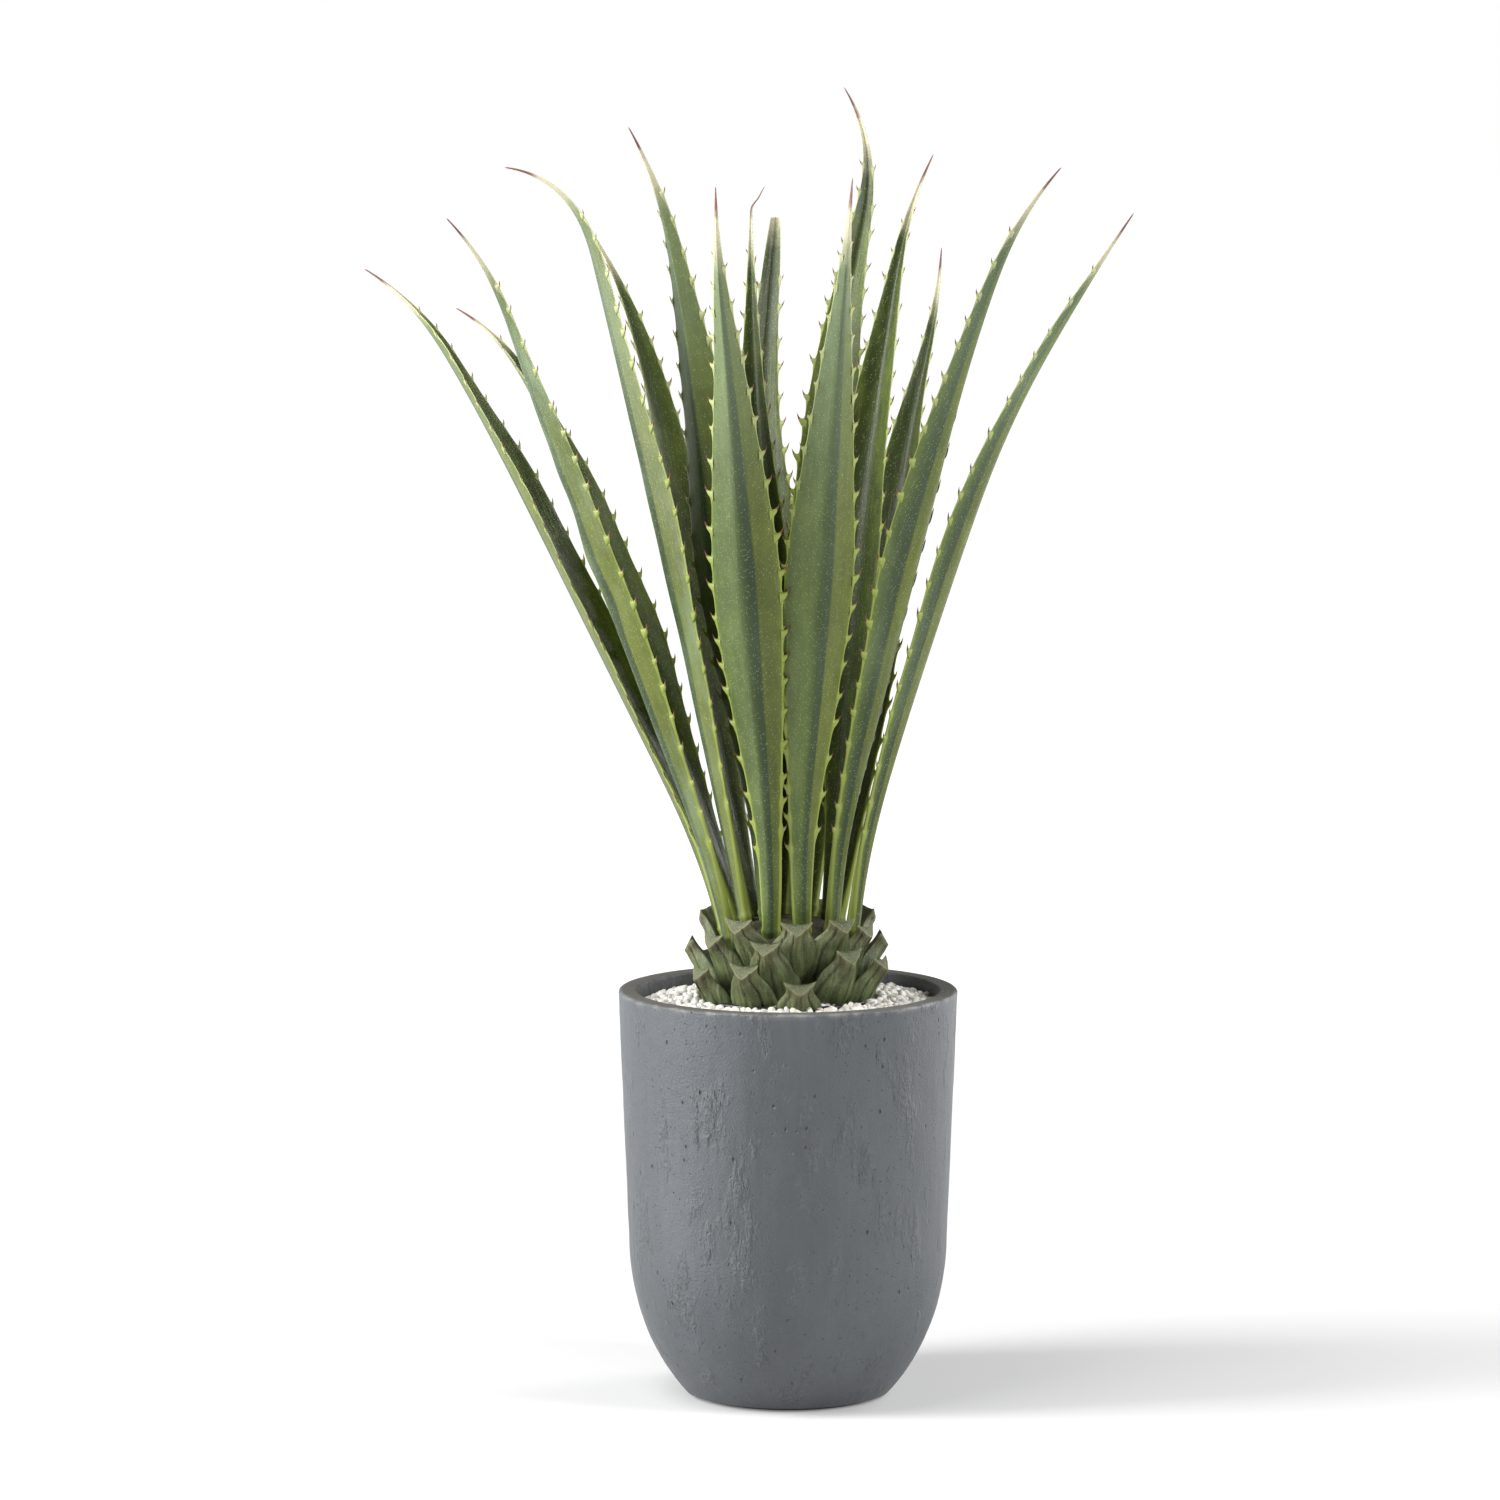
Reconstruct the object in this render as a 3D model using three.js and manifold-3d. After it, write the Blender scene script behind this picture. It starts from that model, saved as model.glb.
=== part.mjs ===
// A tall-leaved potted agave: a round clay planter, a thin nursery pot and its filling, a gravel dressing, a short
// trunk ringed with the stubs of cut leaves, and fifteen long leaves whose round feet plug into the trunk.
// Millimetres, +Z up. The origin is the middle of the planter's foot, on the surface that it stands on.
// +X is to the right and +Y to the back of the plant, seen from the front.
import * as THREE from "three";
import { mergeVertices } from "three/addons/utils/BufferGeometryUtils.js";
import Module from "manifold-3d";

const wasm = await Module();
wasm.setup();

// Driving dimensions
const GAP = 0.3; // between neighbours that touch
const RIM_RADIUS = 150; // outside of the planter's rim
const RIM_HEIGHT = 361;
const SHOULDER_RADIUS = 141; // where the planter's straight upper wall meets its rounded lower body
const SHOULDER_HEIGHT = 140;
const BODY_DROP = 180; // half height of the ellipse that rounds the lower body
const FOOT_RADIUS = 84;
const FOOT_HEIGHT = 3;
const WALL = 17;
const FLOOR = 22;
const RIM_EDGE = 2; // the flat that softens each edge of the planter's rim
const NURSERY = { rim: 77, foot: 56, top: 356, bottom: 150, wall: 2, lip: 3.2, band: 8, edge: 1.4 };
const LOOSE = 1; // the filling and the gravel stop this far short of the planter's wall
const CURVE_STEPS = 6; // flats that follow the rounded lower body
const FILLING_TOP = 336; // the filling around the nursery pot ends here and the gravel starts
const GRAVEL_TOP = { wall: 350, middle: 355 }; // the gravel rises a little towards the trunk
const TRUNK_BOTTOM = 300;
// The trunk's outline from its foot to its crown, as [radius, height].
const TRUNK = [[40, TRUNK_BOTTOM], [45, 345], [52, 372], [59, 396], [60, 406], [52, 415], [36, 423], [18, 427]];
const TRUNK_CROWN = 428;
const PEG = { radius: 7, depth: 24, taper: 12 }; // the round foot of a leaf, whose radius is gone at 1 / taper
const SIDES = { round: 48, leaf: 8, stub: 8 };
const LEAF_STEPS = 16;
const FOOT_STEPS = 2; // of the leaf's steps, those that are its foot inside the trunk
const LEAF_SAMPLES = 90; // places worked out along a leaf's middle line
const STUB_STEPS = 5;

// How a leaf's half width, thickness and fold change along it, from the foot at 0 to the tip at 1. Widths are shares
// of the leaf's greatest width and thicknesses are millimetres.
const LEAF_SHAPE = {
  width: { at: [0, 0.04, 0.13, 0.22, 0.33, 0.47, 0.62, 0.75, 0.86, 0.93, 1],
           share: [0.23, 0.27, 0.37, 0.55, 0.8, 1, 0.78, 0.5, 0.25, 0.11, 0.03] },
  thickness: { at: [0, 0.04, 0.12, 0.3, 0.6, 0.85, 1], mm: [14, 13, 11, 8, 6, 4, 1.8] },
};
const BEND_AT = { east: [0, 0.25, 0.55, 0.82, 1], north: [0, 0.5, 1], fold: [0, 0.5, 1] };
const FOLD = [16, 24, 40];
const BLADE_FROM = 0.12; // the fold is complete from here on
const FOLD_ROUNDING = 0.25; // how softly the channel turns at its bottom, as a share of the half width
const CAP_RISE = 0.2; // how far the middle of a leaf's end lies up its fold

// The leaves. foot is where the leaf leaves the trunk, east and north are the leans of its middle line in degrees at
// the stations of BEND_AT, and outward is the compass direction of its keel, 0 for +X and 90 for +Y.
const LEAVES = [
  { foot: [-54, 8, 408], length: 680, width: 66, east: [-15, -27, -27, -31, -58], north: [4, 8, 10], outward: 165 },
  { foot: [-50, -30, 406], length: 695, width: 58, east: [-13, -21, -20, -18, -42], north: [-6, -10, -12],
    outward: 205 },
  { foot: [-42, 26, 412], length: 625, width: 62, east: [-18, -21, -22, -28, -60], north: [10, 14, 16], outward: 150 },
  { foot: [-36, -6, 420], length: 720, width: 64, east: [-12, -13, -13, -14, -82], north: [2, 4, 4], outward: 192 },
  { foot: [-28, 42, 414], length: 680, width: 60, east: [-13, -11, -11, -18, -35], north: [14, 20, 22], outward: 130 },
  { foot: [-18, -12, 424], length: 710, width: 62, east: [-4, -10, -7, -11, -28], north: [3, 5, 5], outward: 235 },
  { foot: [-15, -44, 412], length: 685, width: 66, east: [0, -6, -4, -5, 0], north: [-8, -17, -14], outward: 258 },
  { foot: [12, -44, 412], length: 690, width: 66, east: [-1, 4, 4, 4, 4], north: [-8, -16, -14], outward: 280 },
  { foot: [-4, 14, 426], length: 645, width: 54, east: [3, -3, -5, -2, 0], north: [5, 8, 8], outward: 60 },
  { foot: [2, 46, 414], length: 655, width: 58, east: [-4, 0, -8, 5, 5], north: [12, 20, 20], outward: 92 },
  { foot: [18, 20, 424], length: 750, width: 64, east: [8, 1, 4, 11, -32], north: [8, 12, 12], outward: 78 },
  { foot: [36, 0, 420], length: 685, width: 60, east: [6, 4, 7, 9, 25], north: [3, 5, 5], outward: 40 },
  { foot: [42, 30, 412], length: 630, width: 66, east: [13, 9, 8, 12, 2], north: [10, 18, 18], outward: 45 },
  { foot: [38, -30, 412], length: 715, width: 66, east: [4, 14, 14, 19, 40], north: [-6, -9, -9], outward: 325 },
  { foot: [56, -10, 408], length: 690, width: 62, east: [6, 17, 19, 30, 33], north: [-4, -5, -5], outward: 345 },
];

// The cut stubs, from the lowest up: the compass direction, the height of the cut and how far out it is.
const STUBS = [
  { toward: 278, height: 377, reach: 90 }, { toward: 207, height: 384, reach: 90 },
  { toward: 241, height: 391, reach: 88 }, { toward: 338, height: 391, reach: 89 },
  { toward: 18, height: 382, reach: 88 }, { toward: 60, height: 388, reach: 88 },
  { toward: 102, height: 380, reach: 90 }, { toward: 146, height: 388, reach: 88 },
  { toward: 309, height: 403, reach: 88 }, { toward: 182, height: 404, reach: 87 },
  { toward: 0, height: 409, reach: 84 }, { toward: 38, height: 408, reach: 85 },
  { toward: 82, height: 404, reach: 86 }, { toward: 124, height: 406, reach: 85 },
  { toward: 214, height: 414, reach: 83 }, { toward: 257, height: 411, reach: 80 },
  { toward: 332, height: 421, reach: 79 }, { toward: 160, height: 427, reach: 80 },
  { toward: 236, height: 429, reach: 77 }, { toward: 274, height: 428, reach: 79 },
  { toward: 306, height: 429, reach: 79 }, { toward: 20, height: 428, reach: 78 },
  { toward: 62, height: 430, reach: 77 }, { toward: 108, height: 429, reach: 78 },
];
// A stub's shape at the stations of STUB_SHAPE.at, from its hidden foot to the cut: how far it has come down from the
// cut, how far in from the reach, its width round the trunk and its thickness.
const STUB_SHAPE = { at: [0, 0.3, 0.6, 0.85, 1], down: [54, 38, 20, 7, 0], inward: [36, 22, 13, 5, 0],
                     width: [40, 46, 39, 27, 27], thickness: [12, 15, 14, 12, 11] };
const STUB_WRAP = 0.28; // how far a stub's edges curl back round the trunk, as a share of its half width
const SPINE_STEP = 0.05; // the slope of a stub's middle line is taken over this share either way
const STUB_FLOOR = { radius: 117, above: 1.5 }; // no stub goes below this disc over the gravel

// Materials
const paint = (colour, roughness) => new THREE.MeshStandardMaterial({ color: colour, roughness, metalness: 0 });
const CLAY = paint(0x8a8d92, 0.85);
const BLACK_PLASTIC = paint(0x15161a, 0.45);
const SOIL = paint(0x4a4038, 0.95);
const STONE = paint(0xd8d3c6, 0.8);
const BARK = paint(0x5f6a48, 0.8);
const LEAF = paint(0x6f8262, 0.55);
const STUB = paint(0x7a8660, 0.65);

const plant = new THREE.Group();

function add(name, geometry, material) {
  const mesh = new THREE.Mesh(geometry, material);
  mesh.name = name;
  plant.add(mesh);
}

// A smooth curve through stations that never overshoots between them.
function along(at, values, t) {
  const slope = at.slice(1).map((a, k) => (values[k + 1] - values[k]) / (a - at[k]));
  const tangent = at.map((_, k) => {
    if (k === 0) return slope[0];
    if (k === at.length - 1) return slope[k - 1];
    const [before, after] = [slope[k - 1], slope[k]];
    return before * after <= 0 ? 0 : (2 * before * after) / (before + after);
  });
  const k = Math.max(0, Math.min(at.length - 2, at.findIndex((a) => a > t) - 1 + (t >= at.at(-1) ? at.length : 0)));
  const span = at[k + 1] - at[k];
  const s = (t - at[k]) / span;
  return (2 * s ** 3 - 3 * s ** 2 + 1) * values[k] + (s ** 3 - 2 * s ** 2 + s) * span * tangent[k] +
    (3 * s ** 2 - 2 * s ** 3) * values[k + 1] + (s ** 3 - s ** 2) * span * tangent[k + 1];
}

// A body turned about Z from [radius, height] points that start and end on the axis or close on themselves.
function turned(profile, segments = SIDES.round) {
  const points = profile.map(([radius, height]) => new THREE.Vector2(radius, height));
  return new THREE.LatheGeometry(points, segments).rotateX(Math.PI / 2);
}

// A capped cylinder whose rings are moved onto the section that place(t, angle, share) gives, where share is 1 on the
// skin and 0 at the middle of a cap.
function lofted(sides, steps, place) {
  const geometry = new THREE.CylinderGeometry(1, 1, 1, sides, steps);
  const position = geometry.getAttribute("position");
  for (let i = 0; i < position.count; i++) {
    const [x, y, z] = [position.getX(i), position.getY(i), position.getZ(i)];
    const point = place(y + 0.5, Math.atan2(z, x), Math.hypot(x, z) > 0.5 ? 1 : 0);
    position.setXYZ(i, point.x, point.y, point.z);
  }
  return geometry;
}

function solid(geometry) {
  const bare = geometry.clone();
  bare.deleteAttribute("normal");
  bare.deleteAttribute("uv");
  const merged = mergeVertices(bare, 1e-4);
  return new wasm.Manifold(new wasm.Mesh({
    numProp: 3,
    vertProperties: new Float32Array(merged.attributes.position.array),
    triVerts: new Uint32Array(merged.index.array),
  }));
}

function geometryOf(body) {
  const { vertProperties, triVerts } = body.getMesh();
  const geometry = new THREE.BufferGeometry();
  geometry.setAttribute("position", new THREE.BufferAttribute(new Float32Array(vertProperties), 3));
  geometry.setIndex(new THREE.BufferAttribute(new Uint32Array(triVerts), 1));
  return geometry;
}

const largest = (body) => body.decompose().reduce((best, one) => (one.volume() > best.volume() ? one : best));

// The planter's outer radius at a height: an ellipse below the shoulder and a straight taper above it.
function planterRadius(height) {
  if (height >= SHOULDER_HEIGHT) {
    const share = (height - SHOULDER_HEIGHT) / (RIM_HEIGHT - SHOULDER_HEIGHT);
    return SHOULDER_RADIUS + (RIM_RADIUS - SHOULDER_RADIUS) * share;
  }
  return SHOULDER_RADIUS * Math.sqrt(1 - ((SHOULDER_HEIGHT - height) / BODY_DROP) ** 2);
}
const planterInside = (height) => planterRadius(height) - WALL;

function planterPot() {
  const outer = [];
  const inner = [];
  for (let k = 0; k <= CURVE_STEPS; k++) {
    const height = FOOT_HEIGHT + (SHOULDER_HEIGHT - FOOT_HEIGHT) * (k / CURVE_STEPS);
    outer.push([planterRadius(height), height]);
  }
  for (let k = CURVE_STEPS; k >= 0; k--) {
    const height = FLOOR + (SHOULDER_HEIGHT - FLOOR) * (k / CURVE_STEPS);
    inner.push([planterInside(height), height]);
  }
  const edgeHeight = RIM_HEIGHT - RIM_EDGE;
  return turned([
    [0, 0], [FOOT_RADIUS, 0], [FOOT_RADIUS, FOOT_HEIGHT], ...outer,
    [planterRadius(edgeHeight), edgeHeight], [RIM_RADIUS - RIM_EDGE, RIM_HEIGHT],
    [RIM_RADIUS - WALL + RIM_EDGE, RIM_HEIGHT], [planterInside(edgeHeight), edgeHeight],
    ...inner, [0, FLOOR],
  ]);
}

function nurseryPot() {
  const { rim, foot, top, bottom, wall, lip, band, edge } = NURSERY;
  const mouth = rim - lip - wall;
  return turned([
    [0, bottom], [foot, bottom], [rim - lip, top - band], [rim, top - band], [rim, top - edge], [rim - edge, top],
    [mouth + edge, top], [mouth, top - edge], [foot - wall, bottom + wall], [0, bottom + wall],
  ]);
}

// Inner radius of the nursery pot's wall at a height.
function nurseryInside(height) {
  const { rim, foot, top, bottom, wall, lip, edge } = NURSERY;
  const share = (height - bottom - wall) / (top - edge - bottom - wall);
  return foot - wall + (rim - lip - foot) * share;
}

// The filling packs the planter around and under the nursery pot.
function potFilling() {
  const { rim, foot, top, bottom, lip, band } = NURSERY;
  const wallAt = (height) => foot + ((rim - lip - foot) * (height - bottom)) / (top - band - bottom);
  const outside = [];
  for (let k = 0; k <= CURVE_STEPS; k++) {
    const height = FLOOR + GAP + (SHOULDER_HEIGHT - FLOOR - GAP) * (k / CURVE_STEPS);
    outside.push([planterInside(height) - LOOSE, height]);
  }
  return turned([
    [0, FLOOR + GAP], ...outside, [planterInside(FILLING_TOP) - LOOSE, FILLING_TOP],
    [wallAt(FILLING_TOP) + GAP, FILLING_TOP], [foot + GAP, bottom - GAP], [0, bottom - GAP],
  ]);
}

function gravel() {
  const bottom = FILLING_TOP + GAP;
  const inner = NURSERY.rim + GAP;
  return turned([
    [inner, bottom], [planterInside(bottom) - LOOSE, bottom],
    [planterInside(GRAVEL_TOP.wall) - LOOSE, GRAVEL_TOP.wall],
    [inner, GRAVEL_TOP.middle], [inner, bottom],
  ]);
}

const trunkOutline = turned([[0, TRUNK_BOTTOM], ...TRUNK, [0, TRUNK_CROWN]]);

// The trunk's radius at a height between the second and third points of its outline.
function trunkRadius(height) {
  const [[low, from], [high, to]] = TRUNK.slice(1, 3);
  return low + ((high - low) * (height - from)) / (to - from);
}

// The filling inside the nursery pot, with a hole for the trunk's foot.
function nurseryFilling() {
  const low = NURSERY.bottom + NURSERY.wall + GAP;
  const high = GRAVEL_TOP.middle - 1;
  return turned([
    [0, low], [nurseryInside(low) - GAP, low], [nurseryInside(high) - GAP, high],
    [trunkRadius(high) + GAP, high], [TRUNK[1][0] + GAP, TRUNK[1][1]], [TRUNK[0][0] + GAP, TRUNK_BOTTOM - GAP],
    [0, TRUNK_BOTTOM - GAP],
  ]);
}

// The middle line of a leaf with its side and inward directions, from the end of the foot to the tip.
function leafFrames(leaf, count) {
  const radians = THREE.MathUtils.degToRad;
  const heading = (t) => {
    const east = radians(along(BEND_AT.east, leaf.east, t));
    const north = radians(along(BEND_AT.north, leaf.north, t));
    return new THREE.Vector3(Math.sin(east) * Math.cos(north), Math.sin(north), Math.cos(east) * Math.cos(north));
  };
  const outward = radians(leaf.outward);
  const inward = new THREE.Vector3(-Math.cos(outward), -Math.sin(outward), 0);
  const point = new THREE.Vector3(...leaf.foot);
  const frames = [];
  let direction = heading(0);
  for (let k = 0; k <= count; k++) {
    const next = heading(k / count);
    if (k > 0) point.addScaledVector(direction.clone().add(next), leaf.length / count / 2);
    direction = next;
    inward.addScaledVector(direction, -inward.dot(direction)).normalize();
    const side = new THREE.Vector3().crossVectors(direction, inward);
    frames.push({ point: point.clone(), direction: direction.clone(), inward: inward.clone(), side });
  }
  return frames;
}

// The skin of a leaf: a round foot, then a channel with thin edges that narrows to a needle. extra thickens the foot.
function leafBody(leaf, extra = 0) {
  const frames = leafFrames(leaf, LEAF_SAMPLES);
  const footShare = FOOT_STEPS / LEAF_STEPS;
  const place = (share, angle, skin) => {
    const t = Math.max(0, (share - footShare) / (1 - footShare));
    const frame = frames[Math.round(t * LEAF_SAMPLES)];
    const point = frame.point.clone();
    if (share < footShare) point.addScaledVector(frame.direction, -PEG.depth * (1 - share / footShare));
    const widthShare = along(LEAF_SHAPE.width.at, LEAF_SHAPE.width.share, t);
    const half = t > 0 ? Math.max(PEG.radius * (1 - t * PEG.taper), (leaf.width / 2) * widthShare) : PEG.radius;
    const thick = along(LEAF_SHAPE.thickness.at, LEAF_SHAPE.thickness.mm, t) / 2;
    const blade = Math.min(1, t / BLADE_FROM);
    const fold = THREE.MathUtils.degToRad(along(BEND_AT.fold, FOLD, t)) * blade;
    const across = Math.cos(angle);
    const rise = (Math.hypot(across, FOLD_ROUNDING) - FOLD_ROUNDING) / (Math.hypot(1, FOLD_ROUNDING) - FOLD_ROUNDING);
    const side = (half * Math.cos(fold) + extra) * across * skin;
    const depth = (half * Math.sin(fold) * rise + (thick + extra) * Math.sin(angle)) * skin;
    const middle = skin ? 0 : half * Math.sin(fold) * CAP_RISE;
    return point.addScaledVector(frame.side, side).addScaledVector(frame.inward, depth + middle);
  };
  return lofted(SIDES.leaf, LEAF_STEPS, place);
}

// The skin of a cut stub, which leans out from the trunk to its cut.
function stubBody(stub, extra = 0) {
  const { at, down, inward, width, thickness } = STUB_SHAPE;
  const toward = THREE.MathUtils.degToRad(stub.toward);
  const out = new THREE.Vector3(Math.cos(toward), Math.sin(toward), 0);
  const side = new THREE.Vector3(-Math.sin(toward), Math.cos(toward), 0);
  const spine = (t) => [stub.reach - along(at, inward, t), stub.height - along(at, down, t)];
  return lofted(SIDES.stub, STUB_STEPS, (t, angle, skin) => {
    const [radius, height] = spine(t);
    const [before, after] = [spine(Math.max(0, t - SPINE_STEP)), spine(Math.min(1, t + SPINE_STEP))];
    const lean = Math.atan2(after[0] - before[0], after[1] - before[1]);
    const across = Math.cos(angle);
    const half = along(at, width, t) / 2 + extra;
    const thick = along(at, thickness, t) / 2 + extra;
    const wrap = half * STUB_WRAP * across ** 2; // the stub hugs the round trunk
    const depth = (-thick * Math.sin(angle) - wrap) * skin;
    return out.clone().multiplyScalar(radius + depth * Math.cos(lean))
      .addScaledVector(side, half * across * skin)
      .setZ(height - depth * Math.sin(lean));
  });
}

// The geometry with its faces turned outwards.
function facingOut(geometry) {
  const body = solid(geometry);
  if (body.volume() > 0) return geometry;
  const index = geometry.index.array;
  for (let i = 0; i < index.length; i += 3) [index[i + 1], index[i + 2]] = [index[i + 2], index[i + 1]];
  return geometry;
}

// The trunk with a hole for the foot of each leaf.
function buildTrunk() {
  let trunk = solid(trunkOutline);
  for (const leaf of LEAVES) trunk = trunk.subtract(solid(facingOut(leafBody(leaf, GAP))));
  return largest(trunk);
}

// Each stub lies outside the trunk, above the gravel, and is overlapped by the stubs and leaves built before it.
function addStubs() {
  const outline = TRUNK.map(([radius, height]) => [radius + GAP, height]);
  const floor = GRAVEL_TOP.middle + STUB_FLOOR.above;
  const below = turned([[0, 0], [STUB_FLOOR.radius, 0], [STUB_FLOOR.radius, floor], [0, floor]]);
  const core = turned([[0, TRUNK_BOTTOM - 1], ...outline, [0, TRUNK_CROWN + GAP]]);
  let taken = solid(below).add(solid(core));
  for (const leaf of LEAVES) taken = taken.add(solid(facingOut(leafBody(leaf, GAP))));
  STUBS.forEach((stub, k) => {
    const body = largest(solid(facingOut(stubBody(stub))).subtract(taken));
    add("leaf_stub_" + String(k + 1).padStart(2, "0"), geometryOf(body), STUB);
    taken = taken.add(solid(facingOut(stubBody(stub, GAP))));
  });
}

add("planter_pot", planterPot(), CLAY);
add("pot_filling", potFilling(), SOIL);
add("nursery_pot", nurseryPot(), BLACK_PLASTIC);
add("nursery_filling", nurseryFilling(), SOIL);
add("gravel", gravel(), STONE);
add("trunk", geometryOf(buildTrunk()), BARK);
addStubs();
LEAVES.forEach((leaf, k) => add("leaf_" + String(k + 1).padStart(2, "0"), facingOut(leafBody(leaf)), LEAF));

export default plant;
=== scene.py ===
"""A tall-leaved potted agave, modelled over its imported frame.

The planter, its gravel, the nursery pot, the trunk, the cut stubs and the leaves are each a class that shapes its
meshes from Blender's primitives and dresses them with procedural finishes. Lengths are in millimetres until a mesh is
written, which turns them into metres, and +Z is up, +X right and +Y to the back.
"""

import logging
import math
from collections.abc import Callable, Sequence
from dataclasses import dataclass, field
from enum import Enum

import bpy
import numpy as np
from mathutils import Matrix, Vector


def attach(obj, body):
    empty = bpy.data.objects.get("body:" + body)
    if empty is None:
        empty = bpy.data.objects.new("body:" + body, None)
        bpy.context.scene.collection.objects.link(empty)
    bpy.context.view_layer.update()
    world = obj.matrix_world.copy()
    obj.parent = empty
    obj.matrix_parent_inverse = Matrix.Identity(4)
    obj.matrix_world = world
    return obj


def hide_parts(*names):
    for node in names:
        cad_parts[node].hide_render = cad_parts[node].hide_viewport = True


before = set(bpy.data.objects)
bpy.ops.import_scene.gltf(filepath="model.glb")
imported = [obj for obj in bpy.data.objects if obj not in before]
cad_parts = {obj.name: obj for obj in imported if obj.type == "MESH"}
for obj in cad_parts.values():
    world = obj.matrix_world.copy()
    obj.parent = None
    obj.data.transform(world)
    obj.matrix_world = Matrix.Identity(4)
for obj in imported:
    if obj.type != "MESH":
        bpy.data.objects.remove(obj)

LOG = logging.getLogger("agave")
MM = 0.001
SEED = 20
MERGE = 1e-6  # metres between vertices that are one
CREASE = 50.0  # degrees past which an edge stays sharp
TURNED_CREASE = 40.0
HALVES = (0.0, 0.5, 1.0)  # shares along a leaf where its turn back and its fold are given
LEAN_AT = (0.0, 0.25, 0.55, 0.82, 1.0)  # shares along a leaf where its lean is given
Numbers = np.ndarray
Placed = tuple[Numbers, dict[str, Numbers]]
Piece = bpy.types.Object
Tree = bpy.types.NodeTree
Socket = bpy.types.NodeSocket


class Slot(Enum):
    """The record's material slot names; no piece in this script takes its finish from them."""

    CLAY = "clay"
    PLASTIC = "black_plastic"
    GRAVEL = "gravel"
    TRUNK = "trunk_skin"
    STUB = "stub_skin"
    LEAF = "leaf_skin"


# Curves and mesh tools


def through(stations: Sequence[float], values: Sequence[float], t: Numbers) -> Numbers:
    """Follow a smooth curve through stations that never overshoots between them.

    Args:
        stations: Where the values hold, rising.
        values: The value at each station.
        t: Where the curve is wanted.

    Returns:
        The curve's value at each t.
    """
    xs, ys = np.array(stations, float), np.array(values, float)
    t = np.clip(t, xs[0], xs[-1])
    k = np.clip(np.searchsorted(xs, t, side="right") - 1, 0, len(xs) - 2)
    slope = np.diff(ys) / np.diff(xs)
    before, after = slope[:-1], slope[1:]
    total = np.where(before * after > 0, before + after, 1)
    inner = np.where(before * after > 0, 2 * before * after / total, 0)
    tangent = np.concatenate([slope[:1], inner, slope[-1:]])
    span = xs[k + 1] - xs[k]
    s = (t - xs[k]) / span
    start = (2 * s**3 - 3 * s**2 + 1) * ys[k] + (s**3 - 2 * s**2 + s) * span * tangent[k]
    return start + (3 * s**2 - 2 * s**3) * ys[k + 1] + (s**3 - s**2) * span * tangent[k + 1]


def eased(value: Numbers, low: float, high: float) -> Numbers:
    """Rise smoothly from 0 at low to 1 at high."""
    s = np.clip((value - low) / (high - low), 0, 1)
    return s * s * (3 - 2 * s)


def ripples(points: Numbers, waves: int, length: float, seed: int) -> Numbers:
    """Sum soft waves that run in random directions.

    Args:
        points: The places, one row each.
        waves: How many waves are summed.
        length: The mean length of a wave.
        seed: The seed of their directions.

    Returns:
        A value of about -1 to 1 at each place.
    """
    random = np.random.default_rng(seed)
    total = np.zeros(len(points))
    for _ in range(waves):
        direction = random.normal(size=points.shape[1])
        direction *= 2 * math.pi / (length * random.uniform(0.6, 1.6) * np.linalg.norm(direction))
        total += np.sin(points @ direction + random.uniform(0, 2 * math.pi))
    return total / math.sqrt(waves)


def active() -> Piece:
    """Return the object that the last operator made."""
    return bpy.context.view_layer.objects.active


def read_points(mesh: bpy.types.Mesh) -> Numbers:
    """Return a mesh's vertices, one row each."""
    flat = np.empty(len(mesh.vertices) * 3, np.float32)
    mesh.vertices.foreach_get("co", flat)
    return flat.reshape(-1, 3).astype(float)


def write_values(mesh: bpy.types.Mesh, values: dict[str, Numbers]) -> None:
    """Store one number or one vector per vertex under each name, for the finishes to read."""
    for name, numbers in values.items():
        flat = np.asarray(numbers, np.float32)
        kind, key = ("FLOAT_VECTOR", "vector") if flat.ndim == 2 else ("FLOAT", "value")
        mesh.attributes.new(name, kind, "POINT").data.foreach_set(key, flat.ravel())


def tidy_shell(piece: Piece, crease: float) -> None:
    """Merge doubled vertices, turn the faces outwards and smooth all but the sharp edges.

    Args:
        piece: The active mesh object. Not used.
        crease: The angle in degrees past which an edge stays sharp.
    """
    bpy.ops.object.mode_set(mode="EDIT")
    bpy.ops.mesh.select_all(action="SELECT")
    bpy.ops.mesh.remove_doubles(threshold=MERGE)
    bpy.ops.mesh.dissolve_degenerate(threshold=MERGE / 10)
    bpy.ops.mesh.normals_make_consistent(inside=False)
    bpy.ops.object.mode_set(mode="OBJECT")
    bpy.ops.object.shade_smooth_by_angle(angle=math.radians(crease))


def rolled_sheet(
    name: str,
    around: int,
    along: int,
    place: Callable[[Numbers, Numbers], Placed],
    crease: float = CREASE,
) -> Piece:
    """Roll a grid into a closed skin.

    Args:
        name: The piece's name.
        around: Faces round the skin.
        along: Faces from end to end.
        place: Turns each grid vertex's share round and share along into its place in millimetres, with its values.
        crease: The angle past which an edge stays sharp.

    Returns:
        The closed skin, with its ends drawn to poles.
    """
    bpy.ops.object.select_all(action="DESELECT")
    bpy.ops.mesh.primitive_grid_add(x_subdivisions=around, y_subdivisions=along, size=2)
    piece = active()
    piece.name = name
    grid = (read_points(piece.data)[:, :2] + 1) / 2
    points, values = place(grid[:, 0], grid[:, 1])
    piece.data.vertices.foreach_set("co", (points * MM).astype(np.float32).ravel())
    write_values(piece.data, values)
    tidy_shell(piece, crease)
    return piece


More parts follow.
